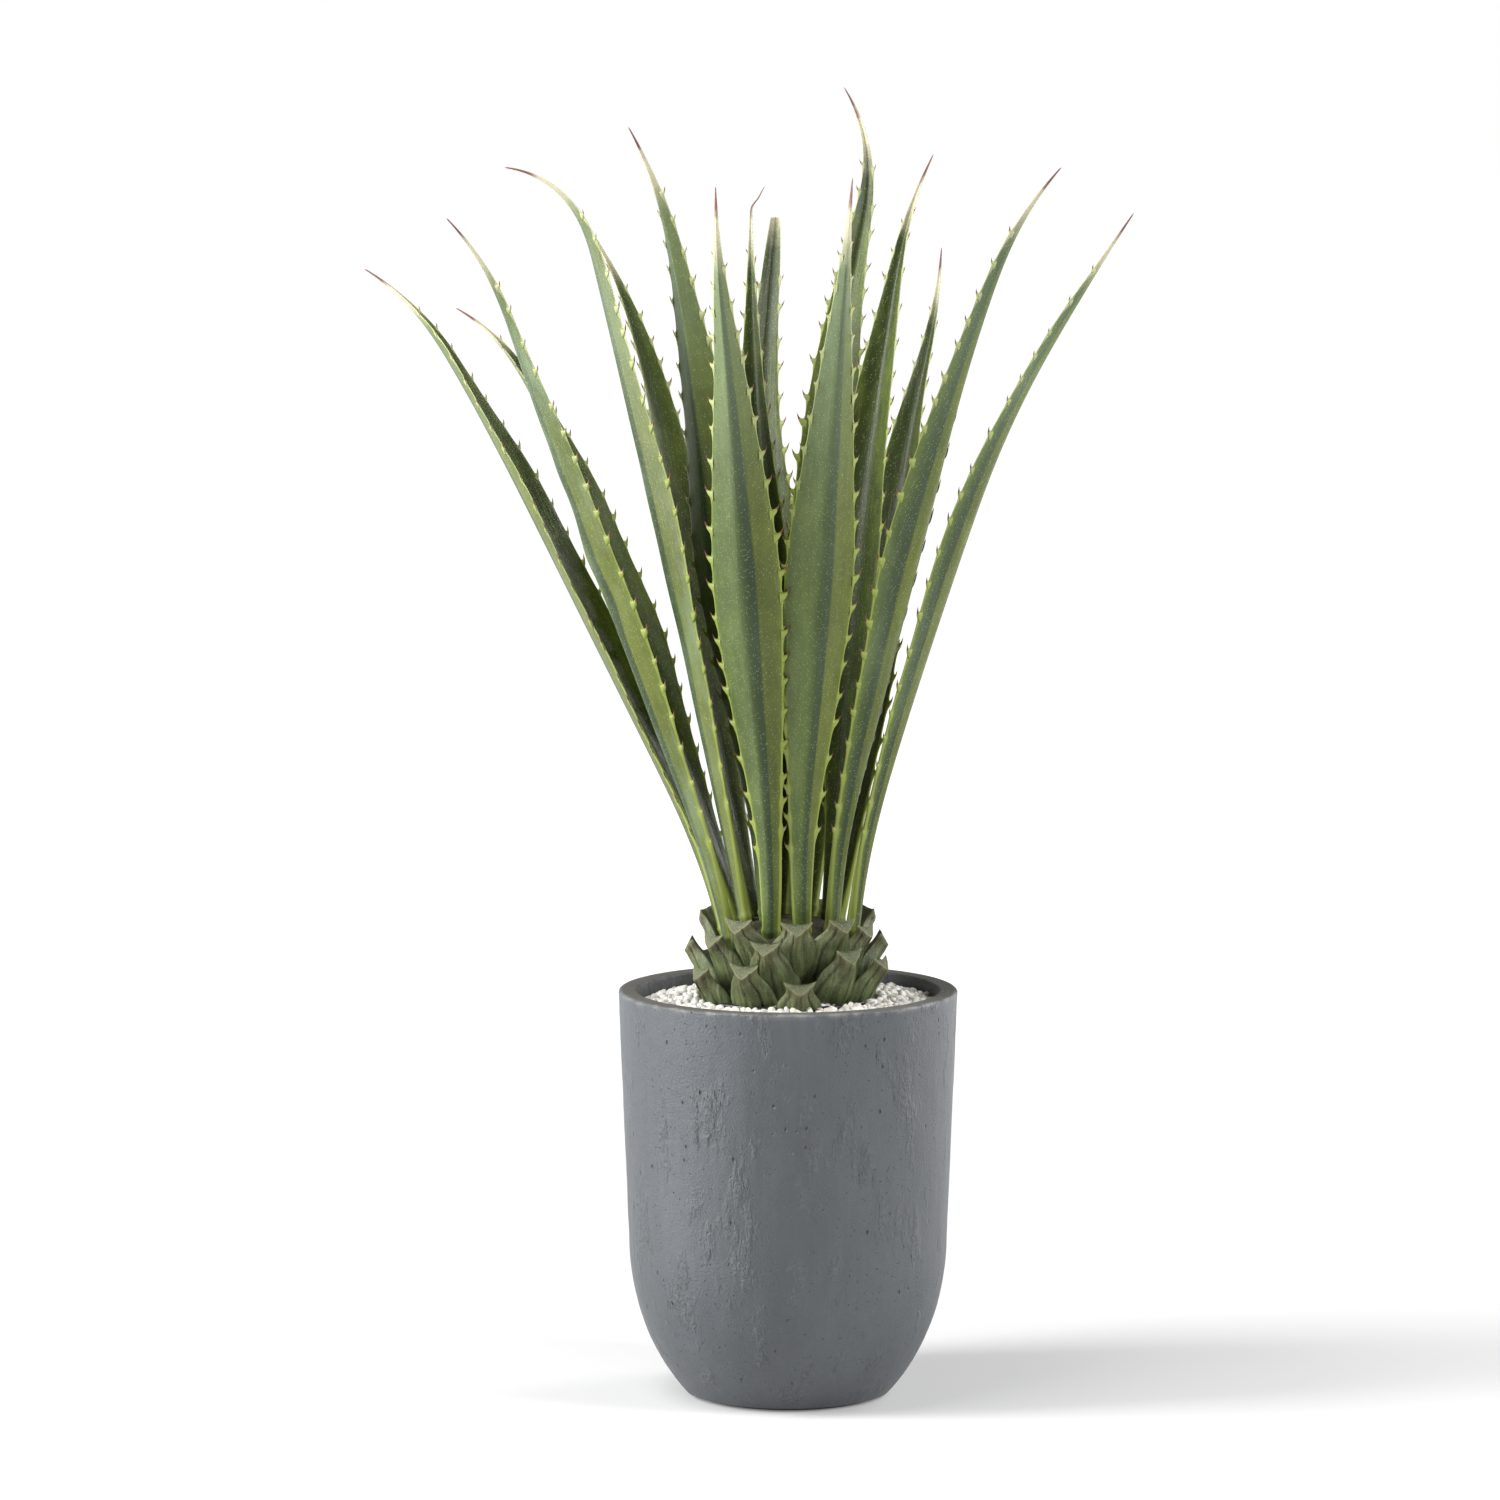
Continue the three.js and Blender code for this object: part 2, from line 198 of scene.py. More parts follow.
def turned_skin(name: str, around: int, outline: Numbers, values: dict[str, float] | None = None) -> Piece:
    """Turn an outline about Z.

    Args:
        name: The piece's name.
        around: Faces round the skin.
        outline: Rows of radius and height that start and end on the axis, or close on themselves.
        values: A number for every vertex under each name.

    Returns:
        The turned skin.
    """

    def place(u: Numbers, v: Numbers) -> Placed:
        """Place the grid's vertices."""
        row = v * (len(outline) - 1)
        radius = np.interp(row, np.arange(len(outline)), outline[:, 0])
        height = np.interp(row, np.arange(len(outline)), outline[:, 1])
        angle = 2 * math.pi * u
        points = np.column_stack([radius * np.cos(angle), radius * np.sin(angle), height])
        return points, {key: np.full(len(u), number) for key, number in (values or {}).items()}

    return rolled_sheet(name, around, len(outline) - 1, place, TURNED_CREASE)


def stamped(name: str, model: Piece, places: Numbers, values: dict[str, Numbers]) -> Piece:
    """Copy a small model's mesh many times into one mesh.

    Args:
        name: The new object's name.
        model: The model, which is removed.
        places: For each copy, the place in millimetres of each of the model's vertices.
        values: For each name, one row of vertex numbers per copy.

    Returns:
        The object that holds every copy.
    """
    faces = [tuple(face.vertices) for face in model.data.polygons]
    size = len(model.data.vertices)
    copies = [tuple(v + size * k for v in face) for k in range(len(places)) for face in faces]
    mesh = bpy.data.meshes.new(name)
    mesh.from_pydata((places.reshape(-1, 3) * MM).tolist(), [], copies)
    mesh.polygons.foreach_set("use_smooth", np.ones(len(copies), bool))
    write_values(mesh, {key: rows.ravel() for key, rows in values.items()})
    piece = bpy.data.objects.new(name, mesh)
    bpy.context.scene.collection.objects.link(piece)
    bpy.data.objects.remove(model)
    return piece


def joined(pieces: list[Piece]) -> Piece:
    """Join the later objects into the first and return it."""
    bpy.ops.object.select_all(action="DESELECT")
    for piece in pieces:
        piece.select_set(True)
    bpy.context.view_layer.objects.active = pieces[0]
    bpy.ops.object.join()
    return pieces[0]


def hand_in(piece: Piece, material: bpy.types.Material, nodes: list[str]) -> None:
    """Dress a piece and let it ride on the frame in place of its solids.

    Args:
        piece: The finished piece.
        material: Its finish.
        nodes: The frame's nodes that it stands for.
    """
    piece.data.materials.clear()
    piece.data.materials.append(material)
    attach(piece, "root")
    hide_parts(*nodes)
    LOG.info("%s: %d faces, for %s", piece.name, len(piece.data.polygons), ", ".join(nodes))


# Shader tools


@dataclass(frozen=True)
class Shade:
    """A colour as its display values from 0 to 255."""

    red: int
    green: int
    blue: int

    def linear(self) -> tuple[float, float, float, float]:
        """Return the colour as linear light with an alpha of 1."""
        parts = (self.red / 255, self.green / 255, self.blue / 255)
        light = [p / 12.92 if p <= 0.04045 else ((p + 0.055) / 1.055) ** 2.4 for p in parts]
        return (light[0], light[1], light[2], 1.0)


Value = Socket | float
Paint = Socket | Shade


class Graph:
    """The nodes of one material or effect, added and linked by short calls."""

    def __init__(self, tree: Tree) -> None:
        """Start on a node tree."""
        self.tree = tree

    def add(self, kind: str, **settings: object) -> bpy.types.Node:
        """Add a node of a kind and set its options."""
        node = self.tree.nodes.new(kind)
        for name, value in settings.items():
            setattr(node, name, value)
        return node

    def feed(self, socket: Socket, value: Value | Paint) -> None:
        """Link a socket's output to an input, or set the input to a number or a colour."""
        if isinstance(value, Socket):
            self.tree.links.new(value, socket)
        else:
            socket.default_value = value.linear() if isinstance(value, Shade) else value

    def math(self, operation: str, first: Value, second: Value = 0.0, clamp: bool = False) -> Socket:
        """Work out one sum and return its result."""
        node = self.add("ShaderNodeMath", operation=operation, use_clamp=clamp)
        self.feed(node.inputs[0], first)
        self.feed(node.inputs[1], second)
        return node.outputs[0]

    def times(self, first: Value, second: Value) -> Socket:
        """Multiply two values."""
        return self.math("MULTIPLY", first, second)

    def plus(self, first: Value, second: Value, clamp: bool = False) -> Socket:
        """Add two values."""
        return self.math("ADD", first, second, clamp)

    def rest(self, value: Value) -> Socket:
        """Return what a share leaves of 1."""
        return self.math("SUBTRACT", 1.0, value)

    def fade(self, value: Value, low: Value, high: Value) -> Socket:
        """Rise smoothly from 0 where the value is low to 1 where it is high."""
        node = self.add("ShaderNodeMapRange", interpolation_type="SMOOTHSTEP")
        self.feed(node.inputs["Value"], value)
        self.feed(node.inputs["From Min"], low)
        self.feed(node.inputs["From Max"], high)
        return node.outputs["Result"]

    def blend(self, share: Value, under: Paint, over: Paint) -> Socket:
        """Lay one colour over another by a share."""
        node = self.add("ShaderNodeMix", data_type="RGBA")
        self.feed(node.inputs[0], share)
        self.feed(node.inputs[6], under)
        self.feed(node.inputs[7], over)
        return node.outputs[2]

    def tint(self, under: Paint, mask: Value, share: Value, over: Paint) -> Socket:
        """Lay one colour over another where a mask shows, by a share of it."""
        return self.blend(self.times(mask, share), under, over)

    def stretched(self, vector: Socket, x: float, y: float, z: float) -> Socket:
        """Scale a vector along each axis."""
        node = self.add("ShaderNodeMapping")
        self.feed(node.inputs["Vector"], vector)
        node.inputs["Scale"].default_value = (x, y, z)
        return node.outputs["Vector"]

    def noise(self, vector: Socket, scale: Value, detail: float = 3.0, rough: float = 0.55) -> Socket:
        """Return soft noise of about 0 to 1."""
        node = self.add("ShaderNodeTexNoise")
        self.feed(node.inputs["Vector"], vector)
        self.feed(node.inputs["Scale"], scale)
        node.inputs["Detail"].default_value = detail
        node.inputs["Roughness"].default_value = rough
        return node.outputs["Fac"]

    def cells(self, vector: Socket, scale: Value) -> bpy.types.Node:
        """Add a cell pattern, for its distances and its colours."""
        node = self.add("ShaderNodeTexVoronoi")
        self.feed(node.inputs["Vector"], vector)
        self.feed(node.inputs["Scale"], scale)
        return node

    def value_of(self, name: str) -> Socket:
        """Read a number that the mesh stores under a name."""
        return self.add("ShaderNodeAttribute", attribute_name=name).outputs["Fac"]

    def vector_of(self, name: str) -> Socket:
        """Read a vector that the mesh stores under a name."""
        return self.add("ShaderNodeAttribute", attribute_name=name).outputs["Vector"]

    def place(self) -> Socket:
        """Read the place on the object, in metres."""
        return self.add("ShaderNodeTexCoord").outputs["Object"]

    def bump(self, height: Socket, depth: float, under: Socket | None = None) -> Socket:
        """Raise the surface by a height.

        Args:
            height: The height, where 1 is raised.
            depth: How far 1 is raised, in metres.
            under: The normal that this bump is laid over.

        Returns:
            The bumped normal.
        """
        node = self.add("ShaderNodeBump")
        node.inputs["Strength"].default_value = 1.0
        node.inputs["Distance"].default_value = depth
        self.feed(node.inputs["Height"], height)
        if under is not None:
            self.feed(node.inputs["Normal"], under)
        return node.outputs["Normal"]

    def surface(self, colour: Paint, rough: Value, normal: Socket | None = None, shine: float = 0.5) -> bpy.types.Node:
        """End a material in its surface.

        Args:
            colour: Its base colour.
            rough: Its roughness.
            normal: Its bumped normal, if any.
            shine: Its specular level, the same all over.

        Returns:
            The surface node.
        """
        surface = self.add("ShaderNodeBsdfPrincipled")
        surface.inputs["Specular IOR Level"].default_value = shine
        self.feed(surface.inputs["Base Color"], colour)
        self.feed(surface.inputs["Roughness"], rough)
        if normal is not None:
            self.feed(surface.inputs["Normal"], normal)
        self.feed(self.add("ShaderNodeOutputMaterial").inputs["Surface"], surface.outputs["BSDF"])
        return surface


class Effect(Enum):
    """The surface effects that several finishes share."""

    SPECKLE = "Speckle"
    STREAKS = "Streaks"
    BLOTCHES = "Blotches"
    PITS = "Pits"


class Effects:
    """Builds each shared effect once, as a node group with one mask, and places it in finishes."""

    def __init__(self) -> None:
        """Build the four groups."""
        self.groups = {
            Effect.SPECKLE: self.speckle(),
            Effect.STREAKS: self.streaks(),
            Effect.BLOTCHES: self.blotches(),
            Effect.PITS: self.pits(),
        }

    def start(self, effect: Effect, **numbers: float) -> tuple[Graph, dict[str, Socket]]:
        """Start a group with its named sockets.

        Args:
            effect: The effect, which names the group.
            numbers: Its number inputs with their first values; it also takes a Vector.

        Returns:
            The group's graph and its input sockets by name.
        """
        tree = bpy.data.node_groups.new(effect.value, "ShaderNodeTree")
        tree.interface.new_socket("Vector", in_out="INPUT", socket_type="NodeSocketVector")
        for name, number in numbers.items():
            socket = tree.interface.new_socket(name, in_out="INPUT", socket_type="NodeSocketFloat")
            socket.default_value = number
        tree.interface.new_socket("Mask", in_out="OUTPUT", socket_type="NodeSocketFloat")
        graph = Graph(tree)
        entry = graph.add("NodeGroupInput")
        return graph, {socket.name: socket for socket in entry.outputs if socket.name}

    def finish(self, graph: Graph, mask: Socket) -> Tree:
        """Link a group's mask to its output and return its tree."""
        graph.feed(graph.add("NodeGroupOutput").inputs["Mask"], mask)
        return graph.tree

    def dotted(self, graph: Graph, given: dict[str, Socket], core: Value) -> Tree:
        """End a group in round dots, full out to their core, in a share of its cells."""
        cells = graph.cells(given["Vector"], given["Scale"])
        chosen = graph.math("LESS_THAN", cells.outputs["Color"], given["Share"])
        dot = graph.rest(graph.fade(cells.outputs["Distance"], core, given["Size"]))
        return self.finish(graph, graph.times(dot, chosen))

    def speckle(self) -> Tree:
        """Scatter small dots: Scale sets how close they lie, Share how many show and Size how wide they are."""
        graph, given = self.start(Effect.SPECKLE, Scale=900.0, Share=0.3, Size=0.4)
        return self.dotted(graph, given, graph.times(given["Size"], 0.4))

    def pits(self) -> Tree:
        """Sink round pits into some cells: Size is a pit's share of its cell and Share how many cells have one."""
        graph, given = self.start(Effect.PITS, Scale=90.0, Share=0.2, Size=0.3)
        return self.dotted(graph, given, 0.0)

    def streaks(self) -> Tree:
        """Draw fine lines along the vector's long axis, which the finish stretches."""
        graph, given = self.start(Effect.STREAKS, Scale=60.0, Sharpness=0.12)
        noise = graph.noise(given["Vector"], given["Scale"], 4.0, 0.6)
        low = graph.math("SUBTRACT", 0.5, given["Sharpness"])
        high = graph.plus(0.5, given["Sharpness"])
        return self.finish(graph, graph.fade(noise, low, high))

    def blotches(self) -> Tree:
        """Cover a share of the surface with soft-edged patches."""
        graph, given = self.start(Effect.BLOTCHES, Scale=12.0, Low=0.5, High=0.65)
        noise = graph.noise(given["Vector"], given["Scale"], 5.0, 0.6)
        return self.finish(graph, graph.fade(noise, given["Low"], given["High"]))

    def place(self, graph: Graph, effect: Effect, vector: Socket, **numbers: float) -> Socket:
        """Place an effect in a finish.

        Args:
            graph: The finish's graph.
            effect: Which effect.
            vector: What it is laid over.
            numbers: Its values, by the names of its inputs.

        Returns:
            Its mask.
        """
        node = graph.add("ShaderNodeGroup", node_tree=self.groups[effect])
        graph.feed(node.inputs["Vector"], vector)
        for name, number in numbers.items():
            node.inputs[name].default_value = number
        return node.outputs["Mask"]


def fresh(name: str) -> tuple[bpy.types.Material, Graph]:
    """Make an empty material and its graph."""
    material = bpy.data.materials.new(name)
    material.use_nodes = True
    material.node_tree.nodes.clear()
    LOG.info("finish %s", name)
    return material, Graph(material.node_tree)


# Finishes


@dataclass(frozen=True)
class LeafFinish:
    """Waxy leaf skin: green faces with a bloom, painted shade by the keel and in the channel, pale edges, cream tops
    and brown points.
    """

    left: Shade = Shade(60, 75, 27)
    left_light: Shade = Shade(88, 103, 46)
    right: Shade = Shade(66, 76, 18)
    right_light: Shade = Shade(90, 100, 32)
    # the colour of the painted shade beside the keel
    keel: Shade = Shade(31, 49, 27)
    inner: Shade = Shade(44, 55, 10)
    inner_light: Shade = Shade(82, 97, 28)
    bloom: Shade = Shade(132, 148, 120)
    glow: Shade = Shade(112, 128, 38)
    edge: Shade = Shade(138, 150, 66)
    edge_pale: Shade = Shade(168, 173, 120)
    cream: Shade = Shade(192, 186, 156)
    point: Shade = Shade(104, 56, 48)
    dot: Shade = Shade(156, 168, 118)
    yellow_dot: Shade = Shade(190, 196, 104)
    shine: float = 0.34

    def body(self, graph: Graph, effects: Effects, skin: Socket, lines: Socket) -> tuple[Socket, Socket]:
        """Colour the two faces, with painted shade beside the keel and down the middle of the inner channel.

        Args:
            graph: The material's graph.
            effects: The shared effects.
            skin: The place over the leaf's skin.
            lines: The fine streaks along the leaf.

        Returns:
            The colour, and the share of bloom.
        """
        along, keel = graph.value_of("along"), graph.value_of("keel")
        tone, inside = graph.value_of("tone"), graph.value_of("inside")
        broad = effects.place(graph, Effect.BLOTCHES, graph.stretched(skin, 1, 0.2, 1), Scale=24.0, Low=0.36, High=0.68)
        shift = graph.plus(graph.times(broad, 0.6), graph.times(lines, 0.2))
        mottle = graph.fade(graph.noise(graph.stretched(skin, 1, 0.5, 1), 70.0, 4.0, 0.65), 0.3, 0.75)
        shift = graph.plus(shift, graph.times(graph.math("SUBTRACT", mottle, 0.45), 0.5))
        shift = graph.plus(shift, graph.times(tone, 0.3), clamp=True)
        left = graph.blend(shift, self.left, self.left_light)
        right = graph.blend(shift, self.right, self.right_light)
        outer = graph.blend(graph.fade(keel, -0.04, 0.04), left, right)
        # Painted shade: a dark band along one side of the keel.
        before = graph.fade(keel, -0.6, -0.02)
        after = graph.rest(graph.fade(keel, 0.02, 0.1))
        band = graph.times(graph.times(before, after), 0.85)
        outer = graph.blend(band, outer, self.keel)
        # Painted shade: the inner face darkens towards the middle of its channel.
        channel_shade = graph.fade(graph.math("ABSOLUTE", keel), 0.95, 0.1)
        dim = graph.math("SUBTRACT", shift, graph.times(channel_shade, 0.5), clamp=True)
        inner = graph.blend(dim, self.inner, self.inner_light)
        colour = graph.blend(inside, outer, inner)
        haze = effects.place(graph, Effect.BLOTCHES, graph.stretched(skin, 1, 0.3, 1), Scale=30.0, Low=0.42, High=0.8)
        high = graph.times(graph.fade(along, 0.5, 0.88), 0.3)
        waxy = graph.times(haze, graph.math("MAXIMUM", tone, 0.12))
        bloom = graph.plus(graph.times(waxy, 0.7), high, clamp=True)
        fade_in = graph.rest(graph.times(inside, 0.93))
        bloom = graph.times(bloom, fade_in)
        return graph.blend(bloom, colour, self.bloom), bloom

    def edging(self, graph: Graph, colour: Socket, lines: Socket) -> Socket:
        """Lay the pale edge over the body: broad at the foot, swollen at the teeth and thin above."""
        along, edge, near = graph.value_of("along"), graph.value_of("edge"), graph.value_of("near")
        low = graph.times(graph.fade(along, 0.62, 0.35), 0.7)
        foot = graph.times(graph.fade(along, 0.3, 0.1), 0.5)
        width = graph.plus(graph.plus(low, foot), graph.times(near, 1.2))
        width = graph.plus(width, 0.4)
        soft = graph.times(graph.fade(edge, 6.0, 0.5), graph.fade(along, 0.95, 0.35))
        colour = graph.tint(colour, soft, 0.3, self.glow)
        rim = graph.fade(edge, graph.times(width, 1.5), graph.times(width, 0.6))
        pale = graph.blend(graph.fade(along, 0.5, 0.8), self.edge, self.edge_pale)
        pale = graph.tint(pale, lines, 0.2, self.left_light)
        return graph.tint(colour, rim, 0.92, pale)

    def build(self, effects: Effects) -> bpy.types.Material:
        """Make the material."""
        material, graph = fresh("leaf_skin")
        place, skin, along = graph.place(), graph.vector_of("skin"), graph.value_of("along")
        lines = effects.place(graph, Effect.STREAKS, graph.stretched(skin, 1, 0.04, 1), Scale=420.0, Sharpness=0.2)
        colour, bloom = self.body(graph, effects, skin, lines)
        dots = effects.place(graph, Effect.SPECKLE, place, Scale=720.0, Share=0.34, Size=0.4)
        colour = graph.tint(colour, dots, 0.55, self.dot)
        spots = effects.place(graph, Effect.SPECKLE, place, Scale=110.0, Share=0.1, Size=0.09)
        colour = graph.tint(colour, spots, 0.7, self.yellow_dot)
        colour = self.edging(graph, colour, lines)
        uneven = graph.times(graph.noise(skin, 90.0, 2.0), 0.03)
        reach = graph.plus(along, uneven)
        colour = graph.tint(colour, graph.fade(reach, 0.89, 0.965), 0.85, self.cream)
        needle = graph.fade(reach, 0.968, 0.99)
        spine = graph.math("MAXIMUM", needle, graph.fade(graph.value_of("tooth"), 0.48, 0.66))
        colour = graph.tint(colour, spine, 0.94, self.point)
        rough = graph.plus(0.4, graph.times(bloom, 0.25))
        rough = graph.plus(rough, graph.times(lines, 0.06))
        normal = graph.bump(graph.noise(graph.stretched(skin, 1, 0.45, 1), 45.0, 3.0), 0.0012)
        normal = graph.bump(graph.noise(place, 900.0, 2.0), 0.00008, normal)
        normal = graph.bump(lines, 0.00012, normal)
        graph.surface(colour, rough, normal, self.shine)
        return material


@dataclass(frozen=True)
class StubFinish:
    """Wrinkled skin of a cut stub: green with painted shade in the fold grooves, dark streaks, a brown neck, a pale lip
    and a matte grainy cut.
    """

    skin: Shade = Shade(84, 98, 56)
    light: Shade = Shade(114, 126, 82)
    neck: Shade = Shade(108, 96, 68)
    # dark olive: the painted shade in the fold grooves, and the colour of the dark streaks
    fold: Shade = Shade(38, 40, 20)
    cut: Shade = Shade(112, 118, 90)
    cut_dark: Shade = Shade(84, 88, 62)
    pale: Shade = Shade(134, 132, 98)
    dot: Shade = Shade(156, 168, 128)

    def build(self, effects: Effects) -> bpy.types.Material:
        """Make the material."""
        material, graph = fresh("stub_skin")
        place, skin = graph.place(), graph.vector_of("skin")
        cut, lip, along = graph.value_of("cut"), graph.value_of("lip"), graph.value_of("along")
        lines = effects.place(graph, Effect.STREAKS, graph.stretched(skin, 1, 0.07, 1), Scale=520.0, Sharpness=0.14)
        patches = effects.place(graph, Effect.BLOTCHES, skin, Scale=60.0, Low=0.38, High=0.66)
        colour = graph.blend(patches, self.skin, self.light)
        brown = graph.times(graph.fade(along, 0.55, 0.98), graph.plus(0.35, graph.times(lines, 0.45)))
        colour = graph.blend(brown, colour, self.neck)
        # Painted shade: the grooves between the folds are darkened.
        groove_shade = graph.times(graph.fade(graph.value_of("relief"), 0.45, -0.35), 0.9)
        colour = graph.blend(groove_shade, colour, self.fold)
        colour = graph.tint(colour, lines, 0.42, self.fold)
        colour = graph.tint(colour, lip, 0.5, self.pale)
        dots = effects.place(graph, Effect.SPECKLE, place, Scale=900.0, Share=0.42, Size=0.42)
        colour = graph.tint(colour, dots, 0.4, self.dot)
        grit = graph.noise(place, 800.0, 4.0, 0.7)
        face = graph.blend(graph.fade(grit, 0.36, 0.64), self.cut_dark, self.cut)
        colour = graph.blend(cut, colour, face)
        rough = graph.plus(0.48, graph.times(cut, 0.38))
        normal = graph.bump(grit, 0.00025)
        normal = graph.bump(lines, 0.0004, normal)
        graph.surface(colour, rough, normal)
        return material


@dataclass(frozen=True)
class TrunkFinish:
    """Brown-green wrinkled core between the stubs."""

    skin: Shade = Shade(78, 80, 46)
    dark: Shade = Shade(48, 44, 28)

    def build(self, effects: Effects) -> bpy.types.Material:
        """Make the material."""
        material, graph = fresh("trunk_skin")
        place = graph.place()
        lines = effects.place(graph, Effect.STREAKS, graph.stretched(place, 1, 1, 0.3), Scale=180.0, Sharpness=0.14)
        patches = effects.place(graph, Effect.BLOTCHES, place, Scale=50.0, Low=0.4, High=0.6)
        colour = graph.blend(patches, self.skin, self.dark)
        colour = graph.tint(colour, lines, 0.4, self.dark)
        normal = graph.bump(lines, 0.0006, graph.bump(patches, 0.0006))
        graph.surface(colour, 0.75, normal)
        return material


@dataclass(frozen=True)
class ClayFinish:
    """Matte grey clay with faint upright brush lines, painted shade in its pits, rough chipped patches and a patchy
    pale rim edge.
    """

    body: Shade = Shade(76, 80, 84)
    light: Shade = Shade(87, 91, 95)
    dark: Shade = Shade(65, 69, 73)
    scuff: Shade = Shade(124, 128, 131)
    pale_rim_edge: Shade = Shade(150, 150, 146)
    rim: Shade = Shade(98, 96, 91)
    # the colour of the painted shade in the pits
    pit: Shade = Shade(36, 38, 41)

    def build(self, effects: Effects) -> bpy.types.Material:
        """Make the material."""
        material, graph = fresh("clay")
        place = graph.place()
        broad = effects.place(graph, Effect.BLOTCHES, graph.stretched(place, 1, 1, 0.4), Scale=10.0, Low=0.35, High=0.7)
        brush = effects.place(graph, Effect.STREAKS, graph.stretched(place, 1, 1, 0.03), Scale=210.0, Sharpness=0.2)
        colour = graph.blend(broad, self.body, self.light)
        colour = graph.tint(colour, brush, 0.2, self.dark)
        tall = graph.stretched(place, 1, 1, 0.45)
        cloud = effects.place(graph, Effect.BLOTCHES, tall, Scale=34.0, Low=0.54, High=0.7)
        chips = effects.place(graph, Effect.BLOTCHES, place, Scale=260.0, Low=0.47, High=0.6)
        rough_patch = graph.times(cloud, chips)
        colour = graph.tint(colour, rough_patch, 0.3, self.scuff)
        flecks = effects.place(graph, Effect.SPECKLE, place, Scale=420.0, Share=0.12, Size=0.3)
        colour = graph.tint(colour, flecks, 0.5, self.scuff)
        pits = effects.place(graph, Effect.PITS, graph.stretched(place, 1, 1, 0.6), Scale=95.0, Share=0.42, Size=0.15)
        small = effects.place(graph, Effect.PITS, place, Scale=250.0, Share=0.36, Size=0.24)
        holes = graph.math("MAXIMUM", pits, graph.times(small, 0.6))
        # Painted shade: the pits are darkened as well as bumped in.
        colour = graph.tint(colour, holes, 0.85, self.pit)
        colour = graph.tint(colour, graph.value_of("rim"), 0.85, self.rim)
        # Paler along the rim's rounded edge, in patches.
        pale_rim_edge_mask = graph.times(graph.value_of("pale_rim_edge"), graph.fade(graph.noise(place, 90.0, 4.0), 0.42, 0.62))
        colour = graph.tint(colour, pale_rim_edge_mask, 0.55, self.pale_rim_edge)
        rough = graph.plus(0.4, graph.times(broad, 0.08))
        rough = graph.plus(rough, graph.times(rough_patch, 0.12))
        normal = graph.bump(graph.noise(graph.stretched(place, 1, 1, 0.4), 30.0, 2.0), 0.002)
        normal = graph.bump(graph.noise(place, 520.0, 3.0, 0.7), 0.0009, normal)
        normal = graph.bump(graph.times(cloud, graph.noise(place, 330.0, 3.0, 0.65)), 0.003, normal)
        normal = graph.bump(graph.rest(holes), 0.0022, normal)
        graph.surface(colour, rough, normal)
        return material


@dataclass(frozen=True)
class PebbleFinish:
    """Pale pebbles, each with its own tint and a dusty mottled skin."""

    white: Shade = Shade(238, 236, 231)
    sand: Shade = Shade(216, 208, 192)
    grey: Shade = Shade(184, 182, 178)
    dust: Shade = Shade(170, 162, 148)

    def build(self, effects: Effects) -> bpy.types.Material:
        """Make the material."""
        material, graph = fresh("gravel")
        place = graph.place()
        tint = graph.value_of("tint")
        colour = graph.blend(graph.fade(tint, 0.6, 1.0), self.white, self.sand)
        colour = graph.blend(graph.fade(tint, 0.18, 0.02), colour, self.grey)
        mottle = effects.place(graph, Effect.BLOTCHES, place, Scale=420.0, Low=0.5, High=0.72)
        colour = graph.tint(colour, mottle, 0.35, self.dust)
        normal = graph.bump(graph.noise(place, 900.0, 4.0, 0.7), 0.0004)
        graph.surface(colour, 0.72, normal)
        return material


@dataclass(frozen=True)
class PlasticFinish:
    """Black moulded plastic with a fine grain and dust."""

    black: Shade = Shade(22, 22, 24)
    dust: Shade = Shade(86, 84, 78)

    def build(self, effects: Effects) -> bpy.types.Material:
        """Make the material."""
        material, graph = fresh("black_plastic")
        place = graph.place()
        dusty = effects.place(graph, Effect.BLOTCHES, place, Scale=120.0, Low=0.58, High=0.8)
        colour = graph.tint(self.black, dusty, 0.35, self.dust)
        rough = graph.plus(0.32, graph.times(dusty, 0.3))
        graph.surface(colour, rough, graph.bump(graph.noise(place, 1500.0, 2.0), 0.00005))
        return material


@dataclass(frozen=True)
class SoilFinish:
    """Dry dark filling."""

    soil: Shade = Shade(74, 62, 50)
    crumb: Shade = Shade(118, 100, 80)

    def build(self, effects: Effects) -> bpy.types.Material:
        """Make the material."""
        material, graph = fresh("soil")
        place = graph.place()
        crumbs = graph.cells(place, 260.0).outputs["Distance"]
        patches = effects.place(graph, Effect.BLOTCHES, place, Scale=60.0, Low=0.4, High=0.6)
        colour = graph.tint(self.soil, patches, crumbs, self.crumb)
        graph.surface(colour, 0.95, graph.bump(crumbs, 0.002))
        return material


# Pieces


